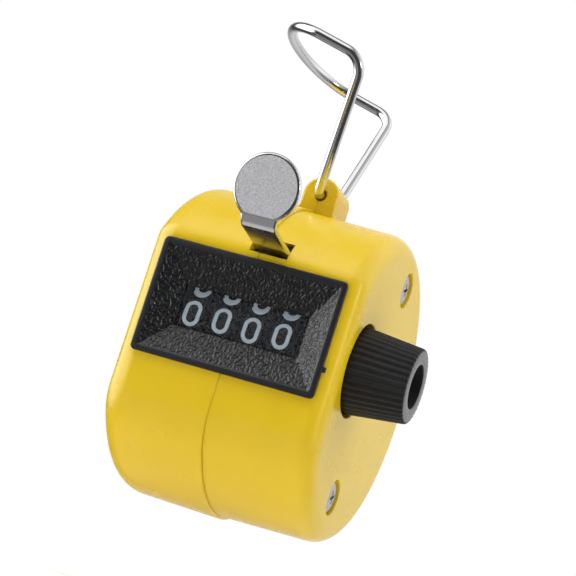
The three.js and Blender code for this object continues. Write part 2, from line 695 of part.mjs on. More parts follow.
function thumbLever() {
  const half = STRIP_WIDTH / 2;
  const bend = [BEND_Y, stripZ(BEND_Y)];
  const tiltSin = Math.sin(PAD.tilt);
  const tiltCos = Math.cos(PAD.tilt);
  const neckTop = [PAD.y + NECK * tiltSin, PAD.z - NECK * tiltCos];
  const back = [BRIDGE.back, stripZ(BRIDGE.back)];
  const front = [BRIDGE.front, stripZ(BRIDGE.front)];
  const strip = prismX(stripOutline([back, bend, neckTop], SHEET), STRIP_X - half, STRIP_X + half);
  const bridge = prismX(stripOutline([back, front], SHEET), LEFT_ARM_X, RIGHT_ARM_X + SHEET);
  return strip.add(bridge).add(leverPad()).add(leverArm(LEFT_ARM_X)).add(leverArm(RIGHT_ARM_X));
}

// The thumb disc: upright, its top tipped away from the case.
function leverPad() {
  const disc = new THREE.CylinderGeometry(PAD.r, PAD.r, SHEET, 36);
  disc.rotateX(PAD.tilt);
  disc.translate(STRIP_X, PAD.y, PAD.z);
  return solid(disc);
}

function leverArm(x) {
  const outline = [[-13.8, stripZ(-13.8)], [-15.1, 8], [-15.1, -4], [PIVOT.y, PIVOT.z]];
  const arm = prismX(stripOutline(outline, ARM_WIDTH), x, x + SHEET);
  const eye = rod(EYE_RADIUS, x, x + SHEET, PIVOT.y, PIVOT.z, 20);
  return arm.add(eye).subtract(rod(PIVOT.r + FIT, x - 1, x + 2, PIVOT.y, PIVOT.z, 20));
}

addPart('thumb_lever', thumbLever(), brightSteel);

// ---- drive pawl and springs ----

const PAWL_PIN = { y: -15.1, z: 7.6, r: 0.5 };
const PAWL_X = RATCHET.x + 0.1;
const PAWL_THICKNESS = 0.8;

function pawlPin() {
  return rod(PAWL_PIN.r, PAWL_X - 0.05, RIGHT_ARM_X - FIT, PAWL_PIN.y, PAWL_PIN.z, 14);
}

function drivePawl() {
  const nose = [-12.65, 5.95];
  const outline = [[PAWL_PIN.y - 0.9, PAWL_PIN.z + 0.2], [PAWL_PIN.y + 0.4, PAWL_PIN.z], nose];
  const body = prismX(stripOutline(outline, 1), PAWL_X, PAWL_X + PAWL_THICKNESS);
  const eye = rod(1.1, PAWL_X, PAWL_X + PAWL_THICKNESS, PAWL_PIN.y, PAWL_PIN.z, 14);
  return body.add(eye).subtract(rod(PAWL_PIN.r + FIT, PAWL_X - 1, PAWL_X + 2, PAWL_PIN.y, PAWL_PIN.z, 14));
}

// A torsion spring about X: a helix with two straight legs.
function torsionSpring(centre, radius, wire, x0, x1, turns, legs, sides) {
  const steps = Math.round(turns * 10);
  const points = [];
  for (let i = 0; i <= steps; i++) {
    const angle = legs.startAngle + (i / steps) * turns * 2 * Math.PI;
    const [y, z] = [centre.y + radius * Math.cos(angle), centre.z + radius * Math.sin(angle)];
    points.push(new THREE.Vector3(x0 + ((x1 - x0) * i) / steps, y, z));
  }
  const first = points[0].clone().sub(points[1]).setX(0).setLength(legs.length);
  const last = points[steps].clone().sub(points[steps - 1]).setX(0).setLength(legs.length);
  points.unshift(points[0].clone().add(first));
  points.push(points[points.length - 1].clone().add(last));
  return wireSolid(points, wire, sides);
}

function detentSpring() {
  const [y, z] = TIE_RODS.lower;
  const collarOuter = TIE_RADIUS + FIT + 0.35;
  const collar = rod(collarOuter, RATCHET.x, RATCHET.x + 0.9, y, z, 20);
  const foot = [y - collarOuter + 0.2, z];
  const tip = [SHAFT.y + 0.6, SHAFT.z - RATCHET.tip - 0.35];
  const knee = [y - 2.6, z + 2.4];
  const leaf = prismX(stripOutline([foot, knee, tip], 0.3), RATCHET.x, RATCHET.x + 0.9);
  return collar.add(leaf).subtract(rod(TIE_RADIUS + FIT, RATCHET.x - 1, RATCHET.x + 2, y, z, 20));
}

addPart('pawl_pin', pawlPin(), brightSteel);
addPart('drive_pawl', drivePawl(), springSteel);
addPart('detent_spring', detentSpring(), springSteel);
addPart(
  'lever_return_spring',
  torsionSpring(PIVOT, 1.3, 0.2, -9.3, -6.2, 4.25, { startAngle: 0, length: 2.4 }, 6),
  springSteel,
);
addPart(
  'pawl_spring',
  torsionSpring(PAWL_PIN, 0.75, 0.11, 8.5, 9.4, 3.25, { startAngle: 0, length: 1.4 }, 4),
  springSteel,
);

// ---- finger ring ----

function fingerRing() {
  const pinEnd = 0.9;
  const [front, back] = [[-1, RING_BEND.frontX], [1, RING_BEND.backX]].map(([side, bendX]) => [
    new THREE.Vector3(0, LUG.y + side * pinEnd, LUG.z),
    new THREE.Vector3(0, LUG.y + side * RING_LEG_Y, LUG.z),
    new THREE.Vector3(bendX, LUG.y + side * RING_BEND.y, RING_BEND.z),
  ]);
  const middle = front[2].clone().add(back[2]).multiplyScalar(0.5);
  const halfSpan = back[2].clone().sub(middle);
  const reach = new THREE.Vector3(RING_TIP.x, LUG.y, RING_TIP.z).sub(middle);
  const straight = reach.clone().setLength(RING_STRAIGHT);
  const bow = reach.clone().sub(straight);
  const loop = [];
  const steps = 18;
  for (let i = 0; i <= steps; i++) {
    const angle = ((i / steps) - 0.5) * Math.PI;
    const point = middle.clone().add(straight);
    loop.push(point.addScaledVector(bow, Math.cos(angle)).addScaledVector(halfSpan, Math.sin(angle)));
  }
  const frontHalf = roundedLine([...front, loop[0]], RING_CORNER, 4);
  const backHalf = roundedLine([...back, loop[steps]], RING_CORNER, 4).reverse();
  return wireSolid([...frontHalf, ...loop.slice(1, -1), ...backHalf], RING_WIRE, 8);
}

addPart('finger_ring', fingerRing(), brightSteel);

counter.position.x = -LEFT_END;

export default counter;
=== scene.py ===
"""Looks of a hand tally counter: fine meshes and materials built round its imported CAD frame.

Meshes are made in millimetres about the drum: x is measured from the seam between the case halves,
y and z from the drum's axis. place() turns a finished mesh to metres in the frame's coordinates.
"""

import json
import math

import bmesh
import bpy
from mathutils import Matrix, Vector, noise
from mathutils.geometry import delaunay_2d_cdt


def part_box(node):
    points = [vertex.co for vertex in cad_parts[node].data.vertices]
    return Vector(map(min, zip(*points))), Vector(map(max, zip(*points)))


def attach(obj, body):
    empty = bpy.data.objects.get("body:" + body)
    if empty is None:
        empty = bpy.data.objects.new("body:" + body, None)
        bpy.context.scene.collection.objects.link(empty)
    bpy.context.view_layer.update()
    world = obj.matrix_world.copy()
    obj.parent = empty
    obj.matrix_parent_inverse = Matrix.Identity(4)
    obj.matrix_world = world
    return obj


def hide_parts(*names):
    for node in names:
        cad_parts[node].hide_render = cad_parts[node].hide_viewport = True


noise.seed_set(7)  # the noise vectors depend on a seed, which would otherwise be the time
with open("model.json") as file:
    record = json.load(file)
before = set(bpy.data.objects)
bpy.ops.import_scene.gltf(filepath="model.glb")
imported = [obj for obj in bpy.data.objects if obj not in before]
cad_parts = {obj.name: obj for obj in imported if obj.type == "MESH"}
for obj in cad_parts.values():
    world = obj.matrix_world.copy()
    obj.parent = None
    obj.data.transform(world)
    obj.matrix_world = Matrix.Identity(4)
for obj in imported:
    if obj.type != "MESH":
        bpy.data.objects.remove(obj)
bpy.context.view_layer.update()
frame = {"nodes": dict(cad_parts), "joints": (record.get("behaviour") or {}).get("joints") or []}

# ---- sizes read from the frame ----

MM = 0.001
SEAM = Vector(((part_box("left_case")[1].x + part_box("right_case")[0].x) / 2, 0, 0))


def corners(node):
    """The lowest and highest corner of a CAD node, in millimetres from the seam and the drum's axis."""
    return tuple((corner - SEAM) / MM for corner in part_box(node))


JOINT = {joint["name"]: (Vector(joint["pos_m"]) - SEAM) / MM for joint in frame["joints"]}

LEFT_LOW, LEFT_HIGH = corners("left_case")
RIGHT_HIGH = corners("right_case")[1]
LEFT_END = LEFT_LOW.x
RIGHT_END = RIGHT_HIGH.x
LEFT_RADIUS = LEFT_HIGH.y
RIGHT_RADIUS = RIGHT_HIGH.y
FLAT_Y = LEFT_LOW.y
SHAFT = JOINT["knob_turn"]
LUG_HOLE = JOINT["ring_swing"]
PIVOT = JOINT["lever_press"]

# ---- sizes of the details ----

WALL = 1.8
DRAFT = 0.25
LEFT_FILLET = 3.7
RIGHT_FILLET = 2.8
LOW_CORNER = 8.0  # rounding between the flat and the drum, below and above the bezel
HIGH_CORNER = 3.0
LEFT_SEAM_EDGE = 0.3  # rounding of each half's edge at the seam
RIGHT_SEAM_EDGE = 0.04
SEAM_GAP = 0.02
RIGHT_FLAT_DROP = 0.14  # the right half's flat lies this much below the left half's

PLAY = 0.15  # clearance round the bezel's plug
BEZEL_PLUG_INSET = 0.9
SLOT_LEFT = -1.5
SLOT_RIGHT = 3.85
SLOT_LOW = 11.85
SLOT_HIGH = 14.35

KNOB_HOLE = 6.5
SCREW_RECESS = 2.5
RECESS_DEPTH = 1.3
SCREW_HOLE = 1.2
THREAD_HOLE = 1.06
BOSS = 2.8
POST = 1.1
POSTS = [(-1.5, 3), (-12.2, -8.2), (-14.2, 9.4)]  # (y, z) of the posts that hold the frame plates
SCREW_NODES = ["case_screw_upper", "case_screw_lower"]

LUG_HALF = 2.62
LUG_REACH = 3.6  # from the ring's hole to the lug's front and back faces
LUG_EDGE = 0.45
LUG_BORE = 0.86


def cad_verts(node):
    """The vertices of a CAD node's mesh, in millimetres."""
    return [(vert.co - SEAM) / MM for vert in frame["nodes"][node].data.vertices]


def lever_middle():
    """Middle of the thumb strip: the pad is the frontmost part of the lever's CAD mesh."""
    front = corners("thumb_lever")[0].y + 2
    xs = [vert.x for vert in cad_verts("thumb_lever") if vert.y < front]
    return (min(xs) + max(xs)) / 2


LEVER_X = lever_middle()

# ---- mesh helpers ----


def new_object(name, verts, faces):
    """A mesh object with outward normals, in millimetres."""
    mesh = bpy.data.meshes.new(name)
    mesh.from_pydata([tuple(v) for v in verts], [], faces)
    tidy = bmesh.new()
    tidy.from_mesh(mesh)
    bmesh.ops.recalc_face_normals(tidy, faces=tidy.faces)
    tidy.to_mesh(mesh)
    tidy.free()
    obj = bpy.data.objects.new(name, mesh)
    bpy.context.scene.collection.objects.link(obj)
    return obj


def loft(rings, caps=True, loop=False):
    """Joins rings of equal length by quads: capped at both ends, or closed on itself as a loop."""
    count = len(rings[0])
    verts = [point for ring in rings for point in ring]
    faces = []
    spans = len(rings) if loop else len(rings) - 1
    for k in range(spans):
        here = k * count
        there = (k + 1) % len(rings) * count
        for i in range(count):
            j = (i + 1) % count
            faces.append((here + i, here + j, there + j, there + i))
    if caps and not loop:
        faces.append(tuple(range(count - 1, -1, -1)))
        faces.append(tuple(range(len(verts) - count, len(verts))))
    return verts, faces


def circle(x, radius, y, z, segments):
    """A ring about the x axis through (y, z)."""
    turns = [2 * math.pi * i / segments for i in range(segments)]
    return [(x, y + radius * math.cos(a), z + radius * math.sin(a)) for a in turns]


def lathe(name, profile, y, z, segments, loop=False):
    """A solid turned about the x axis through (y, z) from a list of (x, radius)."""
    rings = [circle(x, radius, y, z, segments) for x, radius in profile]
    return new_object(name, *loft(rings, loop=loop))


def rod(radius, x0, x1, y, z, segments=32):
    return lathe("rod", [(x0, radius), (x1, radius)], y, z, segments)


def block(low, high):
    """A box between two corners."""
    xs, ys, zs = zip(low, high)
    ring = [(0, 0), (1, 0), (1, 1), (0, 1)]
    rings = [[(x, ys[i], zs[j]) for i, j in ring] for x in xs]
    return new_object("block", *loft(rings))


def combine(base, tool, operation="DIFFERENCE"):
    """Cuts tool out of base, or joins it on, and removes the tool."""
    modifier = base.modifiers.new("combine", "BOOLEAN")
    modifier.operation = operation
    modifier.solver = "EXACT"
    modifier.object = tool
    depsgraph = bpy.context.evaluated_depsgraph_get()
    result = bpy.data.meshes.new_from_object(base.evaluated_get(depsgraph))
    base.modifiers.clear()
    base.data = result
    bpy.data.objects.remove(tool)
    return base


def merged(objects):
    """Several separate meshes as one object."""
    whole = bmesh.new()
    for obj in objects:
        whole.from_mesh(obj.data)
    mesh = bpy.data.meshes.new("merged")
    whole.to_mesh(mesh)
    whole.free()
    for obj in objects:
        bpy.data.objects.remove(obj)
    obj = bpy.data.objects.new("merged", mesh)
    bpy.context.scene.collection.objects.link(obj)
    return obj


def arc(cx, cy, rx, ry, start, stop, steps):
    """Points on an ellipse from start to stop degrees, the last one included."""
    angles = [math.radians(start + (stop - start) * i / steps) for i in range(steps + 1)]
    return [(cx + rx * math.cos(a), cy + ry * math.sin(a)) for a in angles]


def rounding(steps):
    """Steps over a quarter turn, as (1 - cos, 1 - sin): the two insets of a rounded edge of radius 1."""
    for i in range(steps + 1):
        angle = math.pi / 2 * i / steps
        yield 1 - math.cos(angle), 1 - math.sin(angle)


def place(obj, name, body, slot, materials, replaces=(), sharp=35, weighted=True):
    """Turns a finished millimetre mesh into a named piece that rides on a body."""
    obj.name = name
    obj.data.name = name
    obj.data.transform(Matrix.Translation(SEAM) @ Matrix.Scale(MM, 4))
    if not obj.data.materials:
        for material in materials if isinstance(materials, list) else [materials]:
            obj.data.materials.append(material)
    obj.data.shade_smooth()
    obj.data.set_sharp_from_angle(angle=math.radians(sharp))
    if weighted:
        normals = obj.modifiers.new("normals", "WEIGHTED_NORMAL")
        normals.keep_sharp = True
    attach(obj, body)
    if replaces:
        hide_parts(*replaces)
    return obj


# ---- materials ----


class Shader:
    """A node material with a Principled shader and helpers that add procedural detail to it."""

    def __init__(self, name, color, roughness, metallic=0.0):
        self.material = bpy.data.materials.new(name)
        self.material.use_nodes = True
        self.tree = self.material.node_tree
        self.principled = self.tree.nodes["Principled BSDF"]
        self.set("Base Color", (*color, 1))
        self.set("Roughness", roughness)
        self.set("Metallic", metallic)
        self.place = self.tree.nodes.new("ShaderNodeTexCoord").outputs["Object"]

    def set(self, socket, value):
        self.principled.inputs[socket].default_value = value

    def link(self, output, target):
        self.tree.links.new(output, target)

    def noise(self, size_mm, detail=3.0, stretch=(1, 1, 1)):
        """A noise pattern whose features are about size_mm across."""
        mapping = self.tree.nodes.new("ShaderNodeMapping")
        mapping.inputs["Scale"].default_value = stretch
        self.link(self.place, mapping.inputs["Vector"])
        texture = self.tree.nodes.new("ShaderNodeTexNoise")
        texture.inputs["Scale"].default_value = 1 / (size_mm * MM)
        texture.inputs["Detail"].default_value = detail
        self.link(mapping.outputs["Vector"], texture.inputs["Vector"])
        return texture.outputs["Fac"]

    def ramp(self, factor, low, high, start=0.3, stop=0.7):
        """Maps a pattern between start and stop to values or colours from low to high."""
        node = self.tree.nodes.new("ShaderNodeValToRGB")
        ends = node.color_ramp.elements
        for end, place, value in ((ends[0], start, low), (ends[1], stop, high)):
            end.position = place
            end.color = (value,) * 3 + (1,) if isinstance(value, float) else (*value, 1)
        self.link(factor, node.inputs["Fac"])
        return node.outputs["Color"]

    def vary(self, socket, factor, low, high, start=0.3, stop=0.7):
        self.link(self.ramp(factor, low, high, start, stop), self.principled.inputs[socket])

    def bump(self, height, depth_mm, strength=1.0):
        node = self.tree.nodes.new("ShaderNodeBump")
        node.inputs["Strength"].default_value = strength
        node.inputs["Distance"].default_value = depth_mm * MM
        self.link(height, node.inputs["Height"])
        previous = self.principled.inputs["Normal"].links
        if previous:
            self.link(previous[0].from_socket, node.inputs["Normal"])
        self.link(node.outputs["Normal"], self.principled.inputs["Normal"])


def yellow_abs():
    shader = Shader("yellow_abs", (0.8, 0.52, 0.012), 0.24)
    shader.vary("Base Color", shader.noise(9, 2), (0.78, 0.535, 0.011), (0.8, 0.55, 0.014))
    shader.vary("Roughness", shader.noise(3, 4), 0.2, 0.28)
    shader.set("Subsurface Weight", 0.12)
    shader.set("Subsurface Radius", (1.0, 0.6, 0.1))
    shader.set("Subsurface Scale", 1.2 * MM)
    shader.bump(shader.noise(2.4, 2), 0.012, 0.35)
    shader.bump(shader.noise(0.12, 3), 0.002, 0.25)
    return shader.material


def black_grain():
    shader = Shader("black_grain", (0.008, 0.0085, 0.01), 0.26)
    shader.vary("Base Color", shader.noise(0.5, 3), (0.007, 0.0075, 0.009), (0.012, 0.0125, 0.014))
    shader.vary("Roughness", shader.noise(0.25, 4), 0.2, 0.32)
    shader.bump(shader.noise(0.2, 3), 0.008, 0.4)
    return shader.material


def black_rim():
    shader = Shader("black_rim", (0.014, 0.014, 0.016), 0.38)
    shader.vary("Roughness", shader.noise(0.6, 4), 0.3, 0.46)
    shader.bump(shader.noise(0.3, 3), 0.006, 0.4)
    return shader.material


def black_knob():
    shader = Shader("black_knob", (0.01, 0.01, 0.01), 0.5)
    shader.vary("Base Color", shader.noise(0.8, 3), (0.008, 0.008, 0.008), (0.014, 0.013, 0.013))
    shader.vary("Roughness", shader.noise(0.4, 4), 0.45, 0.6)
    shader.bump(shader.noise(0.14, 3), 0.005, 0.4)
    return shader.material


def knob_end():
    # painted reflection: the end's colour is lighter than the knob's black to stand in for the sheen it
    # reflects; its lower roughness is the smoother moulded end
    shader = Shader("knob_end", (0.06, 0.06, 0.06), 0.16)
    shader.vary("Roughness", shader.noise(0.5, 4), 0.12, 0.22)
    shader.bump(shader.noise(0.3, 3), 0.002, 0.4)
    return shader.material


def wheel_black():
    shader = Shader("wheel_black", (0.012, 0.013, 0.015), 0.28)
    shader.vary("Roughness", shader.noise(0.8, 3), 0.22, 0.34)
    shader.bump(shader.noise(0.5, 2), 0.001, 0.2)
    return shader.material


def figure_white():
    shader = Shader("figure_white", (0.85, 0.9, 0.93), 0.45)
    shader.vary("Base Color", shader.noise(0.35, 4), (0.78, 0.84, 0.88), (0.88, 0.93, 0.96))
    shader.bump(shader.noise(0.1, 2), 0.003, 0.4)
    # painted light: the figures glow faintly, standing in for the light that the deep window keeps off them
    shader.set("Emission Color", (0.75, 0.87, 1, 1))
    shader.set("Emission Strength", 0.12)  # makes up for the dim recess
    return shader.material


def blasted_nickel():
    shader = Shader("blasted_nickel", (0.6, 0.6, 0.62), 0.45, 0.45)
    shader.vary("Base Color", shader.noise(0.2, 3), (0.5, 0.5, 0.52), (0.78, 0.78, 0.8))
    shader.vary("Roughness", shader.noise(0.2, 4), 0.36, 0.5)
    shader.bump(shader.noise(0.13, 3), 0.012, 0.8)
    return shader.material


def polished_nickel():
    shader = Shader("polished_nickel", (0.72, 0.72, 0.73), 0.14, 1.0)
    shader.vary("Roughness", shader.noise(0.5, 4), 0.14, 0.22)
    shader.bump(shader.noise(1.5, 2, (1, 0.3, 1)), 0.001, 0.2)
    return shader.material


def chrome_wire():
    shader = Shader("chrome_wire", (0.68, 0.68, 0.69), 0.12, 1.0)
    shader.vary("Roughness", shader.noise(0.6, 3), 0.08, 0.18)
    shader.bump(shader.noise(0.5, 3), 0.003, 0.25)
    return shader.material


def metal(name, color, low, high, grain_mm):
    shader = Shader(name, color, low, 1.0)
    shader.vary("Roughness", shader.noise(grain_mm, 4), low, high)
    shader.bump(shader.noise(grain_mm, 3, (0.2, 1, 1)), 0.004, 0.4)
    return shader.material


def white_nylon():
    shader = Shader("white_nylon", (0.7, 0.69, 0.64), 0.5)
    shader.vary("Base Color", shader.noise(1.5, 3), (0.66, 0.65, 0.6), (0.74, 0.73, 0.69))
    shader.set("Subsurface Weight", 0.2)
    shader.set("Subsurface Scale", 0.5 * MM)
    shader.bump(shader.noise(0.3, 3), 0.006, 0.3)
    return shader.material


def clear_lens():
    """Thin clear plastic: mostly see-through with a faint reflection."""
    shader = Shader("clear_lens", (0.9, 0.95, 1.0), 0.05)
    shader.vary("Roughness", shader.noise(1.2, 4), 0.03, 0.1)
    shader.set("IOR", 1.49)
    tree = shader.tree
    clear = tree.nodes.new("ShaderNodeBsdfTransparent")
    clear.inputs["Color"].default_value = (0.93, 0.95, 0.96, 1)
    gloss = tree.nodes.new("ShaderNodeBsdfGlossy")
    gloss.inputs["Roughness"].default_value = 0.04
    fresnel = tree.nodes.new("ShaderNodeFresnel")
    fresnel.inputs["IOR"].default_value = 1.35
    mix = tree.nodes.new("ShaderNodeMixShader")
    shader.link(fresnel.outputs["Fac"], mix.inputs["Fac"])
    shader.link(clear.outputs["BSDF"], mix.inputs[1])
    shader.link(gloss.outputs["BSDF"], mix.inputs[2])
    film = tree.nodes.new("ShaderNodeMixShader")
    film.inputs["Fac"].default_value = 0.02
    shader.link(mix.outputs["Shader"], film.inputs[1])
    shader.link(shader.principled.outputs["BSDF"], film.inputs[2])
    output = tree.nodes["Material Output"]
    shader.link(film.outputs["Shader"], output.inputs["Surface"])
    return shader.material


YELLOW = yellow_abs()
GRAIN = black_grain()
RIM = black_rim()
KNOB = black_knob()
KNOB_END = knob_end()
WHEEL = wheel_black()
FIGURE = figure_white()
BLASTED = blasted_nickel()
POLISHED = polished_nickel()
WIRE = chrome_wire()
SCREW = metal("screw_nickel", (0.5, 0.49, 0.47), 0.16, 0.32, 0.25)
PLATED = metal("plated_steel", (0.55, 0.55, 0.56), 0.25, 0.4, 0.5)
BRIGHT = metal("bright_steel", (0.62, 0.62, 0.63), 0.15, 0.28, 0.2)
SPRING = metal("spring_steel", (0.4, 0.41, 0.44), 0.2, 0.35, 0.2)
NYLON = white_nylon()
LENS = clear_lens()

# ---- case ----


def section(x, radius, flat, inset):
    """The drum's section at x: a circle cut by a flat, with rounded corners, all moved in by inset."""
    r = radius - inset
    f = flat + inset
    low = max(LOW_CORNER - inset, 0.5)
    high = max(HIGH_CORNER - inset, 0.5)
    low_z = -math.sqrt((r - low) ** 2 - (f + low) ** 2)
    high_z = math.sqrt((r - high) ** 2 - (f + high) ** 2)
    low_turn = 360 + math.degrees(math.atan2(low_z, f + low))
    high_turn = 360 + math.degrees(math.atan2(high_z, f + high))
    flat_steps = 12
    points = [(f, high_z + (low_z - high_z) * i / flat_steps) for i in range(flat_steps)]
    points += arc(f + low, low_z, low, low, 180, low_turn, 14)[:-1]
    points += arc(0, 0, r, r, low_turn, high_turn, 132)[:-1]
    points += arc(f + high, high_z, high, high, high_turn, 540, 10)[:-1]
    return [(x, y, z) for y, z in points]


def shell(side, end, radius, flat, fillet):
    """One half of the case as a hollow shell, open at the seam."""
    rings = []
    for inset, along in reversed(list(rounding(10))):
        rings.append(section(end - side * fillet * along, radius - DRAFT, flat, fillet * inset))
    edge = LEFT_SEAM_EDGE if side < 0 else RIGHT_SEAM_EDGE
    start = side * (SEAM_GAP / 2 + edge)
    rings.append(section((end - side * fillet + start) / 2, radius - DRAFT / 2, flat, 0))
    for inset, along in rounding(4):
        rings.append(section(start - side * edge * (1 - along), radius, flat, edge * inset))
    rings.append(section(side * SEAM_GAP / 2, radius, flat, WALL))
    inner_end = end - side * WALL
    inner_fillet = fillet - WALL / 2
    for inset, along in rounding(4):
        x = inner_end - side * inner_fillet * along
        rings.append(section(x, radius - DRAFT, flat, WALL + inner_fillet * inset))
    return new_object("shell", *loft(rings))


def drum_height(y, radius):
    """Height of the drum's top at y."""
    return math.sqrt(radius**2 - y**2)


def lug_half(side, radius):
    """Half of the hanging lug, its rounded edges blended into the drum below."""
    front = LUG_HOLE.y - LUG_REACH
    back = LUG_HOLE.y + LUG_REACH
    sunk = 1.0  # the root reaches this far into the case wall
    root = 1.1  # radius of the concave blend at the root

    def outline(y, inset):
        half = LUG_HALF - inset
        top = arc(0, LUG_HOLE.z, half, half, 90, 0, 16)
        foot_z = drum_height(y, radius)
        blend = arc(half + root, foot_z + root, root, root, 180, 262, 7)
        bottom = [(blend[-1][0], foot_z - sunk), (0, foot_z - sunk)]
        points = top + blend + bottom
        return [(side * (u + SEAM_GAP / 2 + 0.001), y, z) for u, z in points]

    edge = [(LUG_EDGE * along, LUG_EDGE * inset) for along, inset in rounding(5)]
    rings = [outline(front + along, inset) for along, inset in edge]
    rings.append(outline((front + back) / 2, 0))
    rings += [outline(back - along, inset) for along, inset in reversed(edge)]
    return new_object("lug", *loft(rings))


def lug_bore():
    """The cutting tool for the ring's hole, flared at both mouths."""
    flare = 0.22
    half = LUG_REACH
    stations = [(-half - 1, LUG_BORE + flare)]
    for _, flared in rounding(4):
        stations.append((-half + flare * (1 - flared), LUG_BORE + flare * flared))
    stations += [(-along, radius) for along, radius in reversed(stations)]
    rings = []
    for along, radius in stations:
        ring = circle(0, radius, 0, 0, 36)
        rings.append([(u, LUG_HOLE.y + along, LUG_HOLE.z + v) for _, u, v in ring])
    return new_object("bore", *loft(rings))


def mouth(face_x, radius, edge):
    """The profile of a round hole's mouth in the right end, with a rounded edge."""
    profile = [(face_x - edge * along, radius + edge * inset) for inset, along in rounding(5)]
    return profile + [(face_x + 1, radius + edge)]


def screw_hole(y, z):
    """The cutting tool for a case screw's hole and recess in the right half."""
    floor = RIGHT_END - RECESS_DEPTH
    profile = [(-1, SCREW_HOLE), (floor, SCREW_HOLE), (floor, SCREW_RECESS)]
    profile += mouth(RIGHT_END, SCREW_RECESS, 0.18)
    return lathe("hole", profile, y, z, 48)


def knob_hole():
    profile = [(RIGHT_END - 4, KNOB_HOLE)] + mouth(RIGHT_END, KNOB_HOLE, 0.16)
    return lathe("hole", profile, SHAFT.y, SHAFT.z, 96)


def screw_places():
    middles = [sum(corners(node), Vector()) / 2 for node in SCREW_NODES]
    return [(middle.y, middle.z) for middle in middles]


def bezel_box():
    """Half width, lowest z and highest z of the bezel's flange."""
    low, high = corners("display_bezel")
    return high.x, low.z, high.z


def case_half(side):
    """One case half with its lug, bosses and posts, and with its openings cut: side is -1 or 1."""
    left = side < 0
    end = LEFT_END if left else RIGHT_END
    radius = LEFT_RADIUS if left else RIGHT_RADIUS
    flat = FLAT_Y if left else FLAT_Y + RIGHT_FLAT_DROP
    fillet = LEFT_FILLET if left else RIGHT_FILLET
    half = shell(side, end, radius, flat, fillet)
    seam = side * (SEAM_GAP / 2 + 0.002)
    wall = end - side * WALL / 2
    plate = corners("frame_left_plate")[0].x if left else corners("frame_right_plate")[1].x
    added = [lug_half(side, radius)]
    added += [rod(BOSS, seam, wall, y, z) for y, z in screw_places()]
    added += [rod(POST, plate + side * 0.06, wall, y, z, 20) for y, z in POSTS]
    combine(half, merged(added), "UNION")
    reach, low, high = bezel_box()
    inset = BEZEL_PLUG_INSET - PLAY
    outside, inside = -30, -13  # y where the front openings' cutting tools start and stop
    cuts = [
        block((inset - reach, outside, low + inset), (reach - inset, inside, high - inset)),
        block((SLOT_LEFT, outside, SLOT_LOW), (SLOT_RIGHT, inside + 0.5, SLOT_HIGH)),
        lug_bore(),
    ]
    if left:
        cuts += [rod(THREAD_HOLE, -10, 1, y, z, 24) for y, z in screw_places()]
    else:
        cuts += [screw_hole(y, z) for y, z in screw_places()] + [knob_hole()]
    return combine(half, merged(cuts))


def build_case():
    for side, name in ((-1, "left"), (1, "right")):
        obj = case_half(side)
        place(obj, f"{name}_case_shell", "case", "yellow_abs", YELLOW, [f"{name}_case"])


# ---- bezel ----

BEZEL_RIM = 0.85
WINDOW_WIDTH = 18.0
WINDOW_HEIGHT = 5.8
WINDOW_DROP = 0.35
WINDOW_Y = -17.3
TAB_Z = -1.0  # a small moulding tab on the right edge
TAB_GAP = 0.002
TAB_REACH = 0.45
TAB_HALF = 0.35
GRAIN_SPACING = 0.08
GRAIN_DEPTH = 0.085


def rounded_rectangle(half_x, low_z, high_z, corner, y, counts):
    """A ring of points round a rectangle facing -y, with fixed numbers of points on sides and corners."""
    across, upright, bend = counts
    high = high_z - corner
    low = low_z + corner
    wide = half_x - corner
    points = [(-wide + 2 * wide * i / across, high_z) for i in range(across)]
    points += arc(wide, high, corner, corner, 90, 0, bend)[:-1]
    points += [(half_x, high + (low - high) * i / upright) for i in range(upright)]
    points += arc(wide, low, corner, corner, 0, -90, bend)[:-1]
    points += [(wide - 2 * wide * i / across, low_z) for i in range(across)]
    points += arc(-wide, low, corner, corner, -90, -180, bend)[:-1]
    points += [(-half_x, low + (high - low) * i / upright) for i in range(upright)]
    points += arc(-wide, high, corner, corner, 180, 90, bend)[:-1]
    return [(x, y, z) for x, z in points]


def grain_height(x, z):
    """Moulded leather grain from 0 to 1: short winding strokes with steep sides and sunk ground."""
    warp = noise.noise_vector(Vector((x * 1.6, 0, z * 1.6))) * 0.22
    stroke = noise.noise(Vector(((x + warp.x) * 3.4, 3.1, (z + warp.z) * 2.4)))
    step = min(max((stroke + 0.22) / 0.5, 0.0), 1.0)
    fine = noise.noise(Vector((x * 8, 7.7, z * 6)))
    return step * step * (3 - 2 * step) + 0.15 * fine


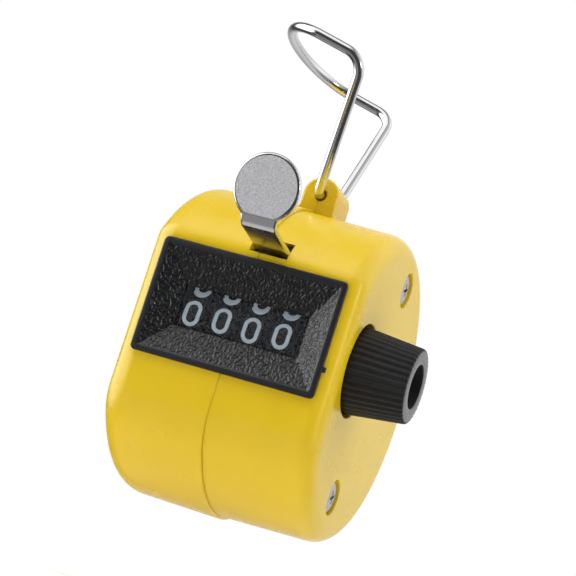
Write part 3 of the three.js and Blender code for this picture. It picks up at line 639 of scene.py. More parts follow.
def bezel_mesh():
    """The bezel as one closed loop of rings: back, plug, flange, rim, grained slopes, window, lens seat."""
    half_x, low_z, high_z = bezel_box()
    front = corners("display_bezel")[0].y
    back = corners("display_bezel")[1].y
    mouth = (half_x - BEZEL_RIM, low_z + BEZEL_RIM, high_z - BEZEL_RIM)
    middle = (low_z + high_z) / 2 - WINDOW_DROP
    window = (WINDOW_WIDTH / 2, middle - WINDOW_HEIGHT / 2, middle + WINDOW_HEIGHT / 2)
    counts = (round(2 * half_x / GRAIN_SPACING), round((high_z - low_z) / GRAIN_SPACING), 6)
    corner = 0.7
    edge = 0.22

    def ring(box, radius, y):
        return rounded_rectangle(*box, radius, y, counts)

    def shrunk(box, inset):
        return (box[0] - inset, box[1] + inset, box[2] - inset)

    flange = (half_x, low_z, high_z)
    plug = shrunk(flange, BEZEL_PLUG_INSET)
    seat = FLAT_Y - 0.03
    lens_seat = shrunk(window, -0.9)
    seat_y = corners("window_lens")[0].y - 0.06
    rings = [ring(lens_seat, 0.3, back), ring(plug, 0.3, back), ring(plug, 0.3, seat)]
    rings += [ring(shrunk(flange, 0.12), corner, seat), ring(flange, corner, seat - 0.1)]
    for inset, sunk in rounding(4):
        box = shrunk(flange, edge * inset)
        rings.append(ring(box, corner - edge * inset / 2, front + edge * sunk))
    rings.append(ring(shrunk(flange, BEZEL_RIM - 0.2), 0.4, front))
    rings.append(ring(shrunk(flange, BEZEL_RIM - 0.07), 0.35, front + 0.015))
    first_grain = len(rings)
    steps = round((high_z - low_z - 2 * BEZEL_RIM) / 3.3 / GRAIN_SPACING)
    for i in range(steps + 1):
        t = i / steps
        box = tuple(a + (b - a) * t for a, b in zip(mouth, window))
        rings.append(ring(box, 0.3 - 0.12 * t, front + 0.05 + (WINDOW_Y - front - 0.05) * t))
    last_grain = len(rings)
    rings.append(ring(shrunk(window, 0.03), 0.17, WINDOW_Y + 0.03))
    rings.append(ring(shrunk(window, 0.05), 0.16, WINDOW_Y + 0.1))
    rings.append(ring(shrunk(window, 0.05), 0.16, seat_y))
    rings.append(ring(lens_seat, 0.3, seat_y))
    for k in range(first_grain, last_grain):
        t = (k - first_grain) / steps
        fade = min(t / 0.06, (1 - t) / 0.04, 1.0)
        depth = [GRAIN_DEPTH * fade * (grain_height(x, z) - 0.8) for x, _, z in rings[k]]
        rings[k] = [(x, y - d, z) for (x, y, z), d in zip(rings[k], depth)]
    obj = new_object("bezel", *loft(rings, loop=True))
    low_tab = (half_x + TAB_GAP, seat - TAB_REACH, TAB_Z - TAB_HALF)
    high_tab = (half_x + TAB_REACH, seat - 0.05, TAB_Z + TAB_HALF)
    tab = block(low_tab, high_tab)
    return merged([obj, tab])


def on_slope(centre, flange):
    """True for the grained slopes between the bezel's rim and its window."""
    half_x, low_z, high_z = flange
    inside = abs(centre.x) < half_x - BEZEL_RIM
    inside = inside and low_z + BEZEL_RIM < centre.z < high_z - BEZEL_RIM
    return inside and centre.y < WINDOW_Y + 0.02


def build_bezel():
    obj = bezel_mesh()
    flange = bezel_box()
    for face in obj.data.polygons:
        face.material_index = 0 if on_slope(face.center, flange) else 1
    place(obj, "textured_bezel", "case", "black_textured", [GRAIN, RIM], ["display_bezel"], 40)


def build_lens():
    """A clear pane with a thinner rim that sits behind the bezel's window."""
    low, high = corners("window_lens")
    counts = (24, 12, 5)
    box = (high.x, low.z, high.z)

    def ring(inset, y):
        inner = (box[0] - inset, box[1] + inset, box[2] - inset)
        return rounded_rectangle(*inner, 0.35, y, counts)

    step = 0.95
    rings = [ring(0.05, high.y), ring(0, high.y - 0.05), ring(0, low.y + 0.1), ring(0.06, low.y + 0.04)]
    rings += [ring(step, low.y + 0.04), ring(step + 0.04, low.y)]
    obj = new_object("lens", *loft(rings))
    place(obj, "clear_window", "case", "clear_lens", LENS, ["window_lens"])


# ---- number wheels ----

WHEEL_RADIUS = 6.9
RIM_WIDTH = 3.0
SHAFT_BORE = 1.56
GEAR_WIDTH = 0.55
FIGURE_HEIGHT = 3.65
FIGURE_WIDTH = 2.4
FIGURE_STROKE = 0.54
FIGURE_RAISE = 0.03
FIGURE_PHASE = 5.2  # how far the shown figure stands above the shaft, in degrees
WHEEL_TURN = {"thousands": 0.6, "hundreds": 1.1, "tens": -0.6, "units": 2.2}  # looseness, in degrees
TEETH = 20
MODULE = 0.6
ADDENDUM = 0.42
DEDENDUM = 0.62


def figure_strokes():
    """The centre lines of the figures 0 to 9, as lists of (points, closed)."""
    a = (FIGURE_WIDTH - FIGURE_STROKE) / 2
    b = (FIGURE_HEIGHT - FIGURE_STROKE) / 2
    c = b - a
    bowl = 0.86
    inner = c - 0.85
    zero = arc(0, c, a, a, 0, 180, 14) + arc(0, -c, a, a, 180, 360, 14)
    six_bowl = arc(0, -b + bowl, a, bowl, 0, 360, 26)[:-1]
    nine_bowl = arc(0, c, a, a, 0, 180, 14) + arc(0, inner, a, a, 180, 360, 14)
    nine_stem = [(a, c), (a, -c)] + arc(0, -c, a, a, 0, -165, 16)[1:]
    six_loop, six_stem = ([(-x, -y) for x, y in line] for line in (nine_bowl, nine_stem))
    two = arc(0, b - a, a, a, 165, -28, 16) + [(-a, -b), (a, -b)]
    three_top = arc(0, b - 0.78, a * 0.9, 0.78, 150, -90, 16)
    three_low = arc(0, -b + 0.84, a, 0.84, 90, -155, 16)
    five = [(a * 0.85, b), (-a * 0.75, b), (-a * 0.85, 0.15)] + arc(-0.05, -b + 1, a, 1, 125, -150, 18)
    return [
        [(zero, True)],
        [([(-a * 0.55, b * 0.62), (a * 0.1, b), (a * 0.1, -b)], False)],
        [(two, False)],
        [(three_top, False), (three_low, False)],
        [([(a * 0.45, -b), (a * 0.45, b), (-a, -b * 0.35), (a, -b * 0.35)], False)],
        [(five, False)],
        [(six_loop, True), (six_stem, False)],
        [([(-a, b), (a, b), (-a * 0.2, -b)], False)],
        [(arc(0, b - 0.76, a * 0.86, 0.76, 0, 360, 24)[:-1], True), (six_bowl, True)],
        [(nine_bowl, True), (nine_stem, False)],
    ]


def without_repeats(points, closed):
    kept = [points[0]]
    for point in points[1:]:
        if math.dist(point, kept[-1]) > 1e-4:
            kept.append(point)
    if closed and math.dist(kept[0], kept[-1]) < 1e-4:
        kept.pop()
    return kept


def subdivided(points, closed, longest=0.35):
    """Adds points on long stretches, so that a stroke follows the curve of the rim."""
    pairs = list(zip(points, points[1:] + points[:1])) if closed else list(zip(points, points[1:]))
    out = []
    for start, stop in pairs:
        cuts = max(1, math.ceil(math.dist(start, stop) / longest))
        out += [tuple(s + (e - s) * i / cuts for s, e in zip(start, stop)) for i in range(cuts)]
    return out if closed else out + [points[-1]]


def stroke_rings(points, closed, width):
    """Cross-sections of a raised stroke along a centre line, as (u, v, height) points."""
    rings = []
    count = len(points)
    for i, point in enumerate(points):
        before = points[i - 1] if closed or i else point
        after = points[(i + 1) % count] if closed or i < count - 1 else point
        first = Vector(point) - Vector(before)
        second = Vector(after) - Vector(point)
        first = first.normalized() if first.length else second.normalized()
        second = second.normalized() if second.length else first
        along = (first + second).normalized()
        reach = width / 2 / max(along.dot(second), 0.55)
        across = Vector((-along.y, along.x)) * reach
        bevel = across * 0.9
        centre = Vector(point)
        ring = [(centre - across, -0.1), (centre - across, 0.5), (centre - bevel, 1.0)]
        ring += [(centre + bevel, 1.0), (centre + across, 0.5), (centre + across, -0.1)]
        rings.append([(p.x, p.y, h * FIGURE_RAISE) for p, h in ring])
    return rings


def figure_mesh(wheel_x, loose):
    verts, faces = [], []
    for figure, strokes in enumerate(figure_strokes()):
        turn = FIGURE_PHASE + loose - 36 * figure
        for points, closed in strokes:
            line = subdivided(without_repeats(points, closed), closed)
            rings = stroke_rings(line, closed, FIGURE_STROKE)
            stroke_verts, stroke_faces = loft(rings, loop=closed)
            base = len(verts)
            for u, v, h in stroke_verts:
                angle = math.radians(turn) + v / WHEEL_RADIUS
                r = WHEEL_RADIUS + h
                verts.append((wheel_x + u, SHAFT.y - r * math.cos(angle), SHAFT.z + r * math.sin(angle)))
            faces += [tuple(base + i for i in face) for face in stroke_faces]
    return new_object("figures", verts, faces)


def gear_outline(teeth, phase, y, z):
    """A gear with straight flanks; phase is the direction of its first tooth in radians."""
    pitch = MODULE * teeth / 2
    root, tip = pitch - DEDENDUM, pitch + ADDENDUM
    root_half, tip_half, chamfer = 0.425, 0.24, 0.08
    flank = [(root, -root_half / root), (tip - chamfer, -tip_half / tip), (tip, (chamfer - tip_half) / tip)]
    points = []
    for i in range(teeth):
        middle = phase + 2 * math.pi * i / teeth
        for r, turn in flank + [(r, -turn) for r, turn in reversed(flank)]:
            points.append((y + r * math.cos(middle + turn), z + r * math.sin(middle + turn)))
    return points


def prism_x(outline, x0, x1):
    return new_object("prism", *loft([[(x, y, z) for y, z in outline] for x in (x0, x1)]))


def wheel_mesh(name):
    """A number wheel: rim, web and hub, with a carry gear on its right and a locking ring on its left."""
    middle = wheel_middle(name)
    left, right = middle - RIM_WIDTH / 2, middle + RIM_WIDTH / 2
    hub, recess, lock = 2.5, 4.5, 5.2
    edge = 0.1
    web = 0.9
    lock_step = 0.35
    last = name == "thousands"
    foot = [(left, recess)]
    if not last:
        foot = [(left, lock), (left - lock_step, lock), (left - lock_step, recess)]
    rim = [(right - edge, WHEEL_RADIUS), (left + edge, WHEEL_RADIUS), (left, WHEEL_RADIUS - edge)]
    profile = [(right, SHAFT_BORE), (right, WHEEL_RADIUS - edge)] + rim + foot
    profile += [(right - web, recess), (right - web, hub), (left, hub), (left, SHAFT_BORE)]
    wheel = lathe("wheel", profile, SHAFT.y, SHAFT.z, 120, loop=True)
    bearing = pinion_bearing()
    if not last:
        turn = bearing + math.pi / 10  # half a figure's step from the pinion
        notch = (SHAFT.y + lock * math.cos(turn), SHAFT.z + lock * math.sin(turn))
        combine(wheel, rod(0.6, left - 1, left - 0.02, *notch, 16))
    if name != "units":
        outline = gear_outline(TEETH, bearing, SHAFT.y, SHAFT.z)
        gear = prism_x(outline, right - 0.1, right + GEAR_WIDTH)
        combine(gear, rod(SHAFT_BORE, right - 1, right + 1, SHAFT.y, SHAFT.z, 60))
        combine(wheel, gear, "UNION")
    return wheel


def wheel_middle(name):
    """Middle of a wheel's rim: the rim holds the CAD vertices farthest from the shaft."""
    verts = cad_verts(f"{name}_wheel")
    rim = [v.x for v in verts if math.hypot(v.y - SHAFT.y, v.z - SHAFT.z) > WHEEL_RADIUS - 0.05]
    return (min(rim) + max(rim)) / 2


def pinion_bearing():
    pinion = JOINT["tens_pinion_spin"]
    return math.atan2(pinion.z - SHAFT.z, pinion.y - SHAFT.y)


def build_wheels():
    """The four wheels, each with its ring of figures as a piece of its own."""
    for name in ("units", "tens", "hundreds", "thousands"):
        place(wheel_mesh(name), f"{name}_number_wheel", name, "black_wheel", WHEEL, [f"{name}_wheel"])
        figures = figure_mesh(wheel_middle(name), WHEEL_TURN[name])
        place(figures, f"{name}_figures", name, "black_wheel", FIGURE, weighted=False)


# ---- reset knob ----

KNOB_RIBS = 38
RIB_DEPTH = 0.2
KNOB_BORE = 3.0
KNOB_BORE_DEPTH = 2.6


def build_knob():
    """The knob as one loft: bore, back, ribbed cone, rounded end and the blind hole in it."""
    low, high = corners("reset_knob")
    base = (high.z - low.z) / 2
    tip = base - 0.85
    edge = 0.32
    per_rib = 10
    segments = KNOB_RIBS * per_rib
    inner, outer = low.x, high.x

    def radius_at(x):
        return base + (tip - base) * max(0, x - RIGHT_END) / (outer - RIGHT_END)

    def ring(x, radius, ribs=0.0):
        points = []
        for i in range(segments):
            turn = 2 * math.pi * i / segments
            wave = math.cos(KNOB_RIBS * turn)
            r = radius - ribs * RIB_DEPTH * (0.5 - 0.5 * math.copysign(abs(wave) ** 0.7, wave))
            points.append((x, SHAFT.y + r * math.cos(turn), SHAFT.z + r * math.sin(turn)))
        return points

    rings = [ring(inner + 4, SHAFT_BORE), ring(inner, SHAFT_BORE)]
    rings += [ring(inner, base - 0.3, 1), ring(inner + 0.3, base, 1)]
    stations = 14
    start = RIGHT_END - 1.6
    for i in range(stations + 1):
        x = start + (outer - edge - start) * i / stations
        rings.append(ring(x, radius_at(x), 1))
    for i, (inset, along) in enumerate(rounding(4)):
        if i:
            rings.append(ring(outer - edge * along, tip - edge * inset, 1 - 0.5 * i / 4))
    rings.append(ring(outer, KNOB_BORE + 0.9))
    lip = 0.15  # rounding of the hole's mouth
    rings += [ring(outer - lip * sunk, KNOB_BORE + lip * inset) for sunk, inset in rounding(4)]
    rings.append(ring(outer - KNOB_BORE_DEPTH + 0.2, KNOB_BORE))
    rings.append(ring(outer - KNOB_BORE_DEPTH, KNOB_BORE - 0.2))
    obj = new_object("knob", *loft(rings))
    for face in obj.data.polygons:
        face.material_index = 1 if face.normal.x > 0.9 and face.center.x > outer - edge else 0
    place(obj, "ribbed_knob", "knob", "black_knob", [KNOB, KNOB_END], ["reset_knob"], 50)


# ---- case screws ----


SCREW_HEAD_GROWTH = 1.12  # the real head is a little wider than the CAD one
CROSS_SECTIONS = [(0.85, 0.5, 0.1), (0.3, 0.85, 0.16), (-0.5, 1.05, 0.22)]  # depth, reach, half width


def build_screws():
    """Pan-head case screws with a thread and a cross recess."""
    for node in SCREW_NODES:
        low, high = corners(node)
        y, z = (low.y + high.y) / 2, (low.z + high.z) / 2
        head = (high.z - low.z) / 2 * SCREW_HEAD_GROWTH
        top = high.x
        dome = 0.24
        edge = top - dome - 0.08
        shank, thread, groove, thread_pitch = 0.95, 1.0, 0.75, 0.8
        head_back = top - 1.1
        profile = [(low.x, 0.15), (low.x + 1, 0.9)]
        x = low.x + 1.2
        while x < top - 2.6:
            profile += [(x, groove), (x + thread_pitch * 0.5, thread)]
            x += thread_pitch
        profile += [(top - 2.2, shank), (head_back, shank), (head_back, head - 0.1), (top - 1.0, head)]
        profile += [(edge, head), (edge + 0.06, head - 0.03)]
        for i in range(1, 7):
            t = i / 6
            profile.append((edge + 0.08 + dome * math.sqrt(1 - (1 - t) ** 2) * 0.98, head * (1 - 0.93 * t)))
        screw = lathe("screw", profile, y, z, 56)
        for turn in (20, 110):
            combine(screw, cross_arm(top, y, z, turn))
        place(screw, f"{node}_head", "case", "plated_steel", SCREW, [node])


def cross_arm(top, y, z, turn):
    """One arm of a cross recess, narrowing with depth."""
    cos, sin = math.cos(math.radians(turn)), math.sin(math.radians(turn))
    rings = []
    for depth, reach, half in CROSS_SECTIONS:
        arm = [(-reach, -half), (reach, -half), (reach, half), (-reach, half)]
        rings.append([(top - depth, y + u * cos - v * sin, z + u * sin + v * cos) for u, v in arm])
    return new_object("arm", *loft(rings))


# ---- thumb lever ----

SHEET = 0.8  # thickness of the lever's sheet
PAD_RADIUS = 4.6
PAD_TILT = 9.0
STRIP_HALF = 2.45
STRIP_SLOPE = 0.12
STRIP_Z = 12.8  # height of the strip's middle plane where it passes the case wall
CASE_FRONT = -18.5
STRIP_BACK = -12.6
BEND_Y = -26.4
PAD_Y = -27.7
PAD_Z = 18.7
LEVER_RADII = [0.9, 6.0]  # of the bend below the pad and of the curve into the pad
PAD_FOOT = 3.6  # where the pad's curve starts, below its middle
PAD_NECK = 0.7  # fillet between the strip and the disc
ARM_WIDTH = 2.0
ARM_TOP = -13.8
ARM_POINTS = [(-15.1, 8), (-15.1, -4)]
BRIDGE_FRONT = -15.0
PIVOT_EYE = 1.5
PIVOT_BORE = 0.96
BEVEL = 0.42  # width of the rolled edge of the sheet's front
ROLL = 0.26
BACK_ROLL = 0.08
BLAST_DEPTH = 0.012
FACE_CUT = 3.7  # the sandblasted face ends this far below the middle of the disc
SHEET_SPACING = 0.13


def strip_z(y):
    """Height of the strip's middle plane: it rises away from the case's front."""
    return STRIP_Z + (CASE_FRONT - y) * STRIP_SLOPE


def rounded_path(corners_2d, radii, steps=10):
    """A line through corners given as (y, z), with an arc of the given radius at each inner corner."""
    points = [Vector(corners_2d[0])]
    for before, corner, after, radius in zip(corners_2d, corners_2d[1:], corners_2d[2:], radii):
        corner = Vector(corner)
        into = (corner - Vector(before)).normalized()
        away = (Vector(after) - corner).normalized()
        half = into.angle(away) / 2
        reach = radius * math.tan(half)
        start = corner - into * reach
        side = 1 if into.x * away.y - into.y * away.x > 0 else -1
        centre = start + Vector((-into.y, into.x)) * side * radius
        for i in range(steps + 1):
            turn = side * 2 * half * i / steps
            spoke = start - centre
            cos, sin = math.cos(turn), math.sin(turn)
            points.append(centre + Vector((spoke.x * cos - spoke.y * sin, spoke.x * sin + spoke.y * cos)))
    points.append(Vector(corners_2d[-1]))
    return points


class Path:
    """A line in the (y, z) plane that gives a place and a direction for a distance along it."""

    def __init__(self, points):
        self.points = points
        self.lengths = [0.0]
        for a, b in zip(points, points[1:]):
            self.lengths.append(self.lengths[-1] + (b - a).length)
        self.total = self.lengths[-1]

    def at(self, distance):
        k = 0
        while k < len(self.points) - 2 and self.lengths[k + 1] < distance:
            k += 1
        span = self.lengths[k + 1] - self.lengths[k]
        t = (distance - self.lengths[k]) / span
        return self.points[k].lerp(self.points[k + 1], t)

    def direction(self, distance):
        step = 0.05
        return (self.at(distance + step) - self.at(distance - step)).normalized()


def lever_path():
    tilt = math.radians(PAD_TILT)
    up = Vector((-math.sin(tilt), math.cos(tilt)))
    pad = Vector((PAD_Y, PAD_Z))
    bottom = pad - up * PAD_FOOT
    top = pad + up * (PAD_RADIUS + 1)
    back = (STRIP_BACK, strip_z(STRIP_BACK))
    bend = (BEND_Y, strip_z(BEND_Y))
    return Path(rounded_path([back, bend, tuple(bottom), tuple(top)], LEVER_RADII)), pad


def pad_outline(pad_at):
    """Outline of the flat blank: a strip that runs into a disc, as (across, along) points."""
    neck = PAD_NECK
    reach = PAD_RADIUS + neck
    sine = (STRIP_HALF + neck) / reach
    drop = math.sqrt(reach**2 - (STRIP_HALF + neck) ** 2)
    turn = math.degrees(math.asin(sine))
    disc = arc(0, pad_at, PAD_RADIUS, PAD_RADIUS, -90 + turn, 270 - turn, 110)
    right = arc(STRIP_HALF + neck, pad_at - drop, neck, neck, 180, 90 + turn, 8)
    left = [(-u, v) for u, v in reversed(right)]
    foot = pad_at - drop
    side_steps = round(foot / 0.4)
    up = [(STRIP_HALF, foot * i / side_steps) for i in range(side_steps)]
    down = [(-STRIP_HALF, foot * i / side_steps) for i in range(side_steps - 1, -1, -1)]
    across = [(-STRIP_HALF + 2 * STRIP_HALF * i / 10, 0) for i in range(1, 10)]
    return up + right[:-1] + disc + left[1:] + down + across


def face_border(pad_at):
    """Border of the sandblasted face: a circle inside the rolled edge, cut off straight above the neck."""
    radius = PAD_RADIUS - BEVEL
    low = math.degrees(math.asin(FACE_CUT / radius))
    return arc(0, pad_at, radius, radius, -low, 180 + low, 120)


def blank_mesh(outline, border, path, spacing):
    """The bent sheet: front and back faces filled with points, edges rolled over, and a fine blast."""
    distance_to = edge_distance(outline)
    steps = 14
    chord = [tuple(b + (a - b) * i / steps for a, b in zip(border[0], border[-1])) for i in range(1, steps)]
    ring = border + chord
    spots = [Vector(p) for p in ring]
    inner = []
    for point in grid_points(outline, spacing):
        clear = min((Vector(point) - spot).length_squared for spot in spots) > (spacing * 0.45) ** 2
        if clear and distance_to(point) > spacing * 0.6:
            inner.append(point)
    flat = [Vector(p) for p in outline + ring + inner]
    loops = [(i, (i + 1) % len(outline)) for i in range(len(outline))]
    first = len(outline)
    loops += [(first + i, first + (i + 1) % len(ring)) for i in range(len(ring))]
    verts2, _, faces2, _, _, _ = delaunay_2d_cdt(flat, loops, [], 1, 1e-5)
    verts, sides = [], []
    count = len(verts2)
    for face_side in (1, -1):
        for point in verts2:
            gap = distance_to(point)
            verts.append(bent(point, face_side, gap, path))
    faces = [tuple(face) for face in faces2]
    faces += [tuple(count + i for i in reversed(face)) for face in faces2]
    edges = {}
    for face in faces2:
        for a, b in zip(face, list(face[1:]) + [face[0]]):
            edges[(a, b)] = edges.get((a, b), 0) + 1
    for a, b in edges:
        if (b, a) not in edges:
            sides.append((b, a, count + a, count + b))
    return verts, faces + sides, verts2


def grid_points(outline, spacing):
    """A staggered grid of points over the outline's box, with a small seeded shake."""
    us = [u for u, _ in outline]
    vs = [v for _, v in outline]
    points = []
    rows = int((max(vs) - min(vs)) / (spacing * 0.87))
    for row in range(1, rows):
        v = min(vs) + row * spacing * 0.87
        columns = int((max(us) - min(us)) / spacing)
        for column in range(1, columns):
            u = min(us) + (column + 0.5 * (row % 2)) * spacing
            shake = noise.noise_vector(Vector((u * 9, v * 9, 4.2))) * spacing * 0.2
            points.append((u + shake.x, v + shake.y))
    return points


def edge_distance(outline):
    """A function that gives a point's distance inside a blank: negative outside it."""
    top = max(v for _, v in outline) - PAD_RADIUS

    def distance(point):
        u, v = point[0], point[1]
        disc = PAD_RADIUS - math.hypot(u, v - top)
        strip = min(STRIP_HALF - abs(u), v) if v < top else -1.0
        soft = 0.25
        low, high = min(disc, strip), max(disc, strip)
        blend = max(0.0, 1 - (high - low) / (4 * soft)) * soft * 0.5
        return high + blend

    return distance


def bent(point, face_side, gap, path):
    """Places a point of the flat blank on one side of the bent sheet."""
    u, v = point[0], point[1]
    rolled = max(0.0, 1 - gap / BEVEL)
    if face_side > 0:
        height = SHEET / 2 - ROLL * (1 - math.sqrt(max(0.0, 1 - rolled**2)))
        pits = noise.noise(Vector((u * 7.0, v * 7.0, 1.3)))
        height += BLAST_DEPTH * pits * min(1.0, max(0.0, gap - BEVEL) / 0.2)
    else:
        height = BACK_ROLL * rolled**2 - SHEET / 2
    along = path.direction(v)
    spot = path.at(v) + Vector((-along.y, along.x)) * height
    return (u, spot.x, spot.y)


def thicken(line, width):
    """The outline of a bent bar: a centre line of (y, z) points given a width."""
    path = [Vector(p) for p in line]
    left, right = [], []
    for i, point in enumerate(path):
        before = path[max(i - 1, 0)]
        after = path[min(i + 1, len(path) - 1)]
        along = ((point - before).normalized() + (after - point).normalized()).normalized()
        reference = (after - point).normalized() if i < len(path) - 1 else (point - before).normalized()
        reach = width / 2 / max(along.dot(reference), 0.5)
        across = Vector((-along.y, along.x)) * reach
        left.append(tuple(point + across))
        right.insert(0, tuple(point - across))
    return left + right


def build_lever():
    """The thumb lever: a bent sheet with its pad, a bridge behind the wall and an arm on each side."""
    path, pad = lever_path()
    steps = (i * 0.01 for i in range(int(path.total * 100)))
    pad_at = min(steps, key=lambda along: (path.at(along) - pad).length)
    outline = pad_outline(pad_at)
    verts, faces, pattern = blank_mesh(outline, face_border(pad_at), path, SHEET_SPACING)
    sheet = new_object("sheet", [(LEVER_X + u, y, z) for u, y, z in verts], faces)
    low, high = corners("thumb_lever")
    left, right = low.x, high.x
    back = (STRIP_BACK, strip_z(STRIP_BACK))
    front = (BRIDGE_FRONT, strip_z(BRIDGE_FRONT))
    bridge = prism_x(thicken([back, front], SHEET - 0.002), left, right)
    arm_line = [(ARM_TOP, strip_z(ARM_TOP)), *ARM_POINTS, (PIVOT.y, PIVOT.z)]
    for material in (BLASTED, POLISHED):
        sheet.data.materials.append(material)
        bridge.data.materials.append(material)
    for face in sheet.data.polygons:
        blasted = all(i < len(pattern) and on_face(pattern[i], pad_at) for i in face.vertices)
        face.material_index = 0 if blasted else 1
    for x0 in (left, right - SHEET):
        arm = prism_x(thicken(arm_line, ARM_WIDTH), x0 + 0.001, x0 + SHEET - 0.001)
        combine(arm, rod(PIVOT_EYE, x0, x0 + SHEET, PIVOT.y, PIVOT.z, 40), "UNION")
        combine(arm, rod(PIVOT_BORE, x0 - 1, x0 + 2, PIVOT.y, PIVOT.z, 40))
        combine(bridge, arm, "UNION")
    for face in bridge.data.polygons:
        face.material_index = 1
    combine(sheet, bridge, "UNION")
    place(sheet, "thumb_lever_plate", "lever", "nickel_plate", [BLASTED, POLISHED], ["thumb_lever"], 40)


def on_face(point, pad_at):
    """True for a point of the flat pattern on or inside the border of the sandblasted face."""
    inside = math.hypot(point[0], point[1] - pad_at) < PAD_RADIUS - BEVEL + 0.01
    return inside and point[1] > pad_at - FACE_CUT - 0.01


# ---- finger ring ----

WIRE_RADIUS = 0.72
LEG_Y = 4.75  # where each pin turns up into its leg
RING_FRONT = Vector((3.5, -14.3, 42.8))  # where the front leg bends into the bow
RING_BACK = Vector((1.4, 14.3, 42.8))
RING_TIP = (-11.7, 46.7)  # (x, z) of the bow's middle
RING_CORNER = 3.0
ELBOW = 1.1
RING_STRAIGHT = 7.5


def rounded_line(points, radii, steps):
    """A line in space with its inner corners replaced by arcs."""
    line = [points[0]]
    for before, corner, after, radius in zip(points, points[1:], points[2:], radii):
        into = (corner - before).normalized()
        away = (after - corner).normalized()
        half = into.angle(away) / 2
        reach = radius * math.tan(half)
        start = corner - into * reach
        centre = corner + (away - into).normalized() * (radius / math.cos(half))
        for i in range(steps + 1):
            turn = 2 * half * i / steps
            line.append(centre + (start - centre) * math.cos(turn) + into * radius * math.sin(turn))
    line.append(points[-1])
    return line


def tube(name, line, radius, sides):
    """A round wire along a line, turned as little as possible from point to point."""
    tangents = []
    for i in range(len(line)):
        tangents.append((line[min(i + 1, len(line) - 1)] - line[max(i - 1, 0)]).normalized())
    normal = tangents[0].orthogonal().normalized()
    rings = []
    for point, tangent in zip(line, tangents):
        normal = (normal - tangent * normal.dot(tangent)).normalized()
        other = tangent.cross(normal)
        turns = [2 * math.pi * k / sides for k in range(sides)]
        rings.append([point + (normal * math.cos(a) + other * math.sin(a)) * radius for a in turns])
    return new_object(name, *loft(rings))


def build_ring():
    """The ring: two pins in the lug's hole, a leg up from each, and a bow joining the legs' bends."""
    hole = LUG_HOLE
    pin_end = 0.9

    def leg(side, bend):
        inner = hole + Vector((0, side * pin_end, 0))
        outer = hole + Vector((0, side * LEG_Y, 0))
        return [inner, outer, bend + Vector((0, hole.y, 0))]

    front = leg(-1, RING_FRONT)
    back = leg(1, RING_BACK)
    middle = (front[2] + back[2]) / 2
    half_span = back[2] - middle
    reach = Vector((RING_TIP[0], hole.y, RING_TIP[1])) - middle
    straight = reach.normalized() * RING_STRAIGHT
    bow = reach - straight
    steps = 48
    loop = []
    for i in range(steps + 1):
        angle = (i / steps - 0.5) * math.pi
        loop.append(middle + straight + bow * math.cos(angle) + half_span * math.sin(angle))
    front_half = rounded_line(front + [loop[0]], [ELBOW, RING_CORNER], 10)
    back_half = rounded_line(back + [loop[-1]], [ELBOW, RING_CORNER], 10)
    line = front_half + loop[1:-1] + back_half[::-1]
    wire = tube("wire", line, WIRE_RADIUS, 28)
    place(wire, "finger_ring_wire", "ring", "chrome_wire", WIRE, ["finger_ring"])


# ---- CAD nodes that stay as they are ----

KEPT = {
    PLATED: ["frame_left_plate", "frame_right_plate", "frame_tie_rod_upper", "frame_tie_rod_lower"],
    BRIGHT: ["pinion_shaft", "lever_pivot_pin", "main_shaft", "pawl_pin"],
    SPRING: [
        "units_reset_pawl", "tens_reset_pawl", "hundreds_reset_pawl", "thousands_reset_pawl",
        "shaft_clip", "drive_pawl", "detent_spring", "lever_return_spring", "pawl_spring",
    ],
    NYLON: ["tens_carry_pinion", "hundreds_carry_pinion", "thousands_carry_pinion"],
    WHEEL: ["ratchet_wheel", "left_spacer", "right_spacer"],
}


def dress_kept_nodes():
    """Gives the CAD meshes that stay in view their materials."""
    for material, names in KEPT.items():
        for name in names:
            node = frame["nodes"][name]
            node.data.materials.clear()
            node.data.materials.append(material)


# ---- stage ----

CAMERA_AZIMUTH = 17.894
CAMERA_ELEVATION = -8.651
CAMERA_ROLL = 17.745
CAMERA_DISTANCE = 294.885
CAMERA_LENS = 130.95
CAMERA_AIM = Vector((-0.732, 0, 11.21))
FLOOR_Z = -36.0


def to_frame(point):
    """A place in millimetres about the drum, in the frame's metres."""
    return SEAM + Vector(point) * MM


def build_camera():
    azimuth, elevation = math.radians(CAMERA_AZIMUTH), math.radians(CAMERA_ELEVATION)
    roll = math.radians(CAMERA_ROLL)
    back = Vector((
        math.sin(azimuth) * math.cos(elevation),
        -math.cos(azimuth) * math.cos(elevation),
        math.sin(elevation),
    ))
    right = Vector((math.cos(azimuth), math.sin(azimuth), 0))
    up = back.cross(right)
    turned_right = right * math.cos(roll) + up * math.sin(roll)
    turned_up = up * math.cos(roll) - right * math.sin(roll)
    data = bpy.data.cameras.new("camera")
    data.lens = CAMERA_LENS
    data.sensor_width = 36
    data.clip_start = 0.01
    camera = bpy.data.objects.new("camera", data)
    bpy.context.scene.collection.objects.link(camera)
    axes = Matrix((turned_right, turned_up, back)).transposed().to_4x4()
    spot = to_frame(CAMERA_AIM + back * CAMERA_DISTANCE)
    camera.matrix_world = Matrix.Translation(spot) @ axes
    bpy.context.scene.camera = camera


def build_floor():
    size = 2.0
    mesh = bpy.data.meshes.new("floor")
    z = FLOOR_Z * MM
    quad = [(-size, -size, z), (size, -size, z), (size, size, z), (-size, size, z)]
    mesh.from_pydata(quad, [], [(0, 1, 2, 3)])
    shader = Shader("floor", (0.86, 0.86, 0.86), 0.6)
    shader.vary("Base Color", shader.noise(40, 2), (0.85, 0.85, 0.85), (0.87, 0.87, 0.87))
    mesh.materials.append(shader.material)
    floor = bpy.data.objects.new("floor", mesh)
    bpy.context.scene.collection.objects.link(floor)
    floor.visible_glossy = False


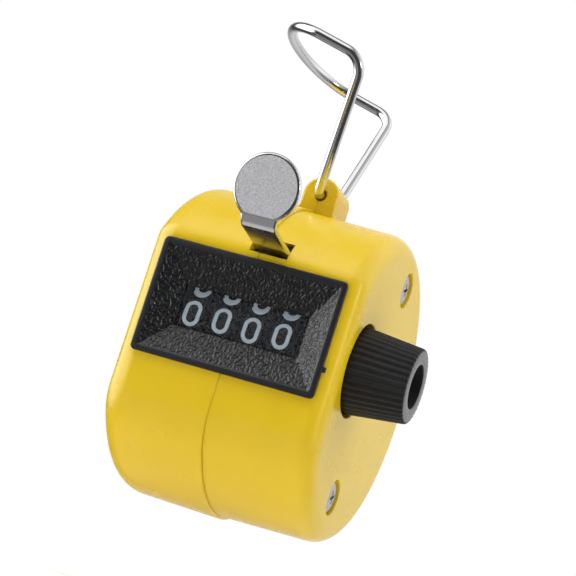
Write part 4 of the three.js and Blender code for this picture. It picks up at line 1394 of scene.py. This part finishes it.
class World:
    """Node helpers for a sky made of soft lobes of light."""

    def __init__(self, name):
        self.world = bpy.data.worlds.new(name)
        self.world.use_nodes = True
        self.world.cycles.sampling_method = "NONE"
        self.tree = self.world.node_tree
        self.tree.nodes.clear()
        self.direction = self.tree.nodes.new("ShaderNodeTexCoord").outputs["Generated"]
        self.light_path = self.tree.nodes.new("ShaderNodeLightPath").outputs

    def connect(self, value, socket):
        if isinstance(value, (int, float)):
            socket.default_value = value
        else:
            self.tree.links.new(value, socket)

    def lobe(self, direction, start, stop, strength):
        """Light from round a direction: none where the cosine is under start, full over stop."""
        dot = self.tree.nodes.new("ShaderNodeVectorMath")
        dot.operation = "DOT_PRODUCT"
        self.connect(self.direction, dot.inputs[0])
        dot.inputs[1].default_value = Vector(direction).normalized()
        ramp = self.tree.nodes.new("ShaderNodeMapRange")
        ramp.interpolation_type = "SMOOTHSTEP"
        self.connect(dot.outputs["Value"], ramp.inputs["Value"])
        ramp.inputs["From Min"].default_value = start
        ramp.inputs["From Max"].default_value = stop
        ramp.inputs["To Max"].default_value = strength
        return ramp.outputs["Result"]

    def add(self, a, b):
        node = self.tree.nodes.new("ShaderNodeMath")
        self.connect(a, node.inputs[0])
        self.connect(b, node.inputs[1])
        return node.outputs[0]

    def sky(self, base, lobes):
        total = base
        for settings in lobes:
            total = self.add(total, self.lobe(*settings))
        return total

    def choose(self, factor, plain, chosen):
        node = self.tree.nodes.new("ShaderNodeMix")
        for value, socket in ((factor, "Factor"), (plain, "A"), (chosen, "B")):
            self.connect(value, node.inputs[socket])
        return node.outputs["Result"]

    def finish(self, strength):
        background = self.tree.nodes.new("ShaderNodeBackground")
        background.inputs["Color"].default_value = (1, 1, 1, 1)
        self.connect(strength, background.inputs["Strength"])
        output = self.tree.nodes.new("ShaderNodeOutputWorld")
        self.tree.links.new(background.outputs["Background"], output.inputs["Surface"])
        bpy.context.scene.world = self.world


# each lobe: direction, cosine where the light starts, cosine where it is full, strength
ROOM_BASE = 0.03
ROOM_LOBES = [
    ((0, 0.1, 1), 0.3, 0.95, 2.3),
    ((-1, 0, 0.1), 0.15, 0.95, 0.72),
    ((0, 0.2, -1), 0.1, 0.95, 0.44),
    ((0, 1, 0), 0.1, 0.95, 0.45),
]
REFLECTED_BASE = 0.06
REFLECTED_LOBES = [
    ((-0.95, -0.2, 0.2), 0.7, 0.93, 3.4),
    ((0.9, 0.1, 0.6), 0.5, 0.95, 0.6),
    ((0.4, 1, 0.2), 0.3, 0.9, 0.72),
    ((0, 0.2, -1), 0.6, 0.95, 0.6),
    ((-0.3, -0.4, 0.85), 0.8, 0.97, 1.3),
    ((0.93, -0.3, 0.28), 0.98, 0.997, 5.5),
    ((-0.3, -0.64, -0.7), 0.86, 0.97, 0.24),
]


def build_world():
    """A white studio: one sky lights the surfaces, another is mirrored, and the camera sees white."""
    world = World("studio")
    room = world.sky(ROOM_BASE, ROOM_LOBES)
    reflected = world.sky(REFLECTED_BASE, REFLECTED_LOBES)
    light = world.choose(world.light_path["Is Glossy Ray"], room, reflected)
    world.finish(world.choose(world.light_path["Is Camera Ray"], light, 1.0))


def build_stage():
    build_camera()
    build_floor()
    build_world()
    scene = bpy.context.scene
    scene.view_settings.view_transform = "Standard"


build_case()
build_bezel()
build_lens()
build_wheels()
build_knob()
build_screws()
build_lever()
build_ring()
dress_kept_nodes()
build_stage()

bpy.context.view_layer.update()
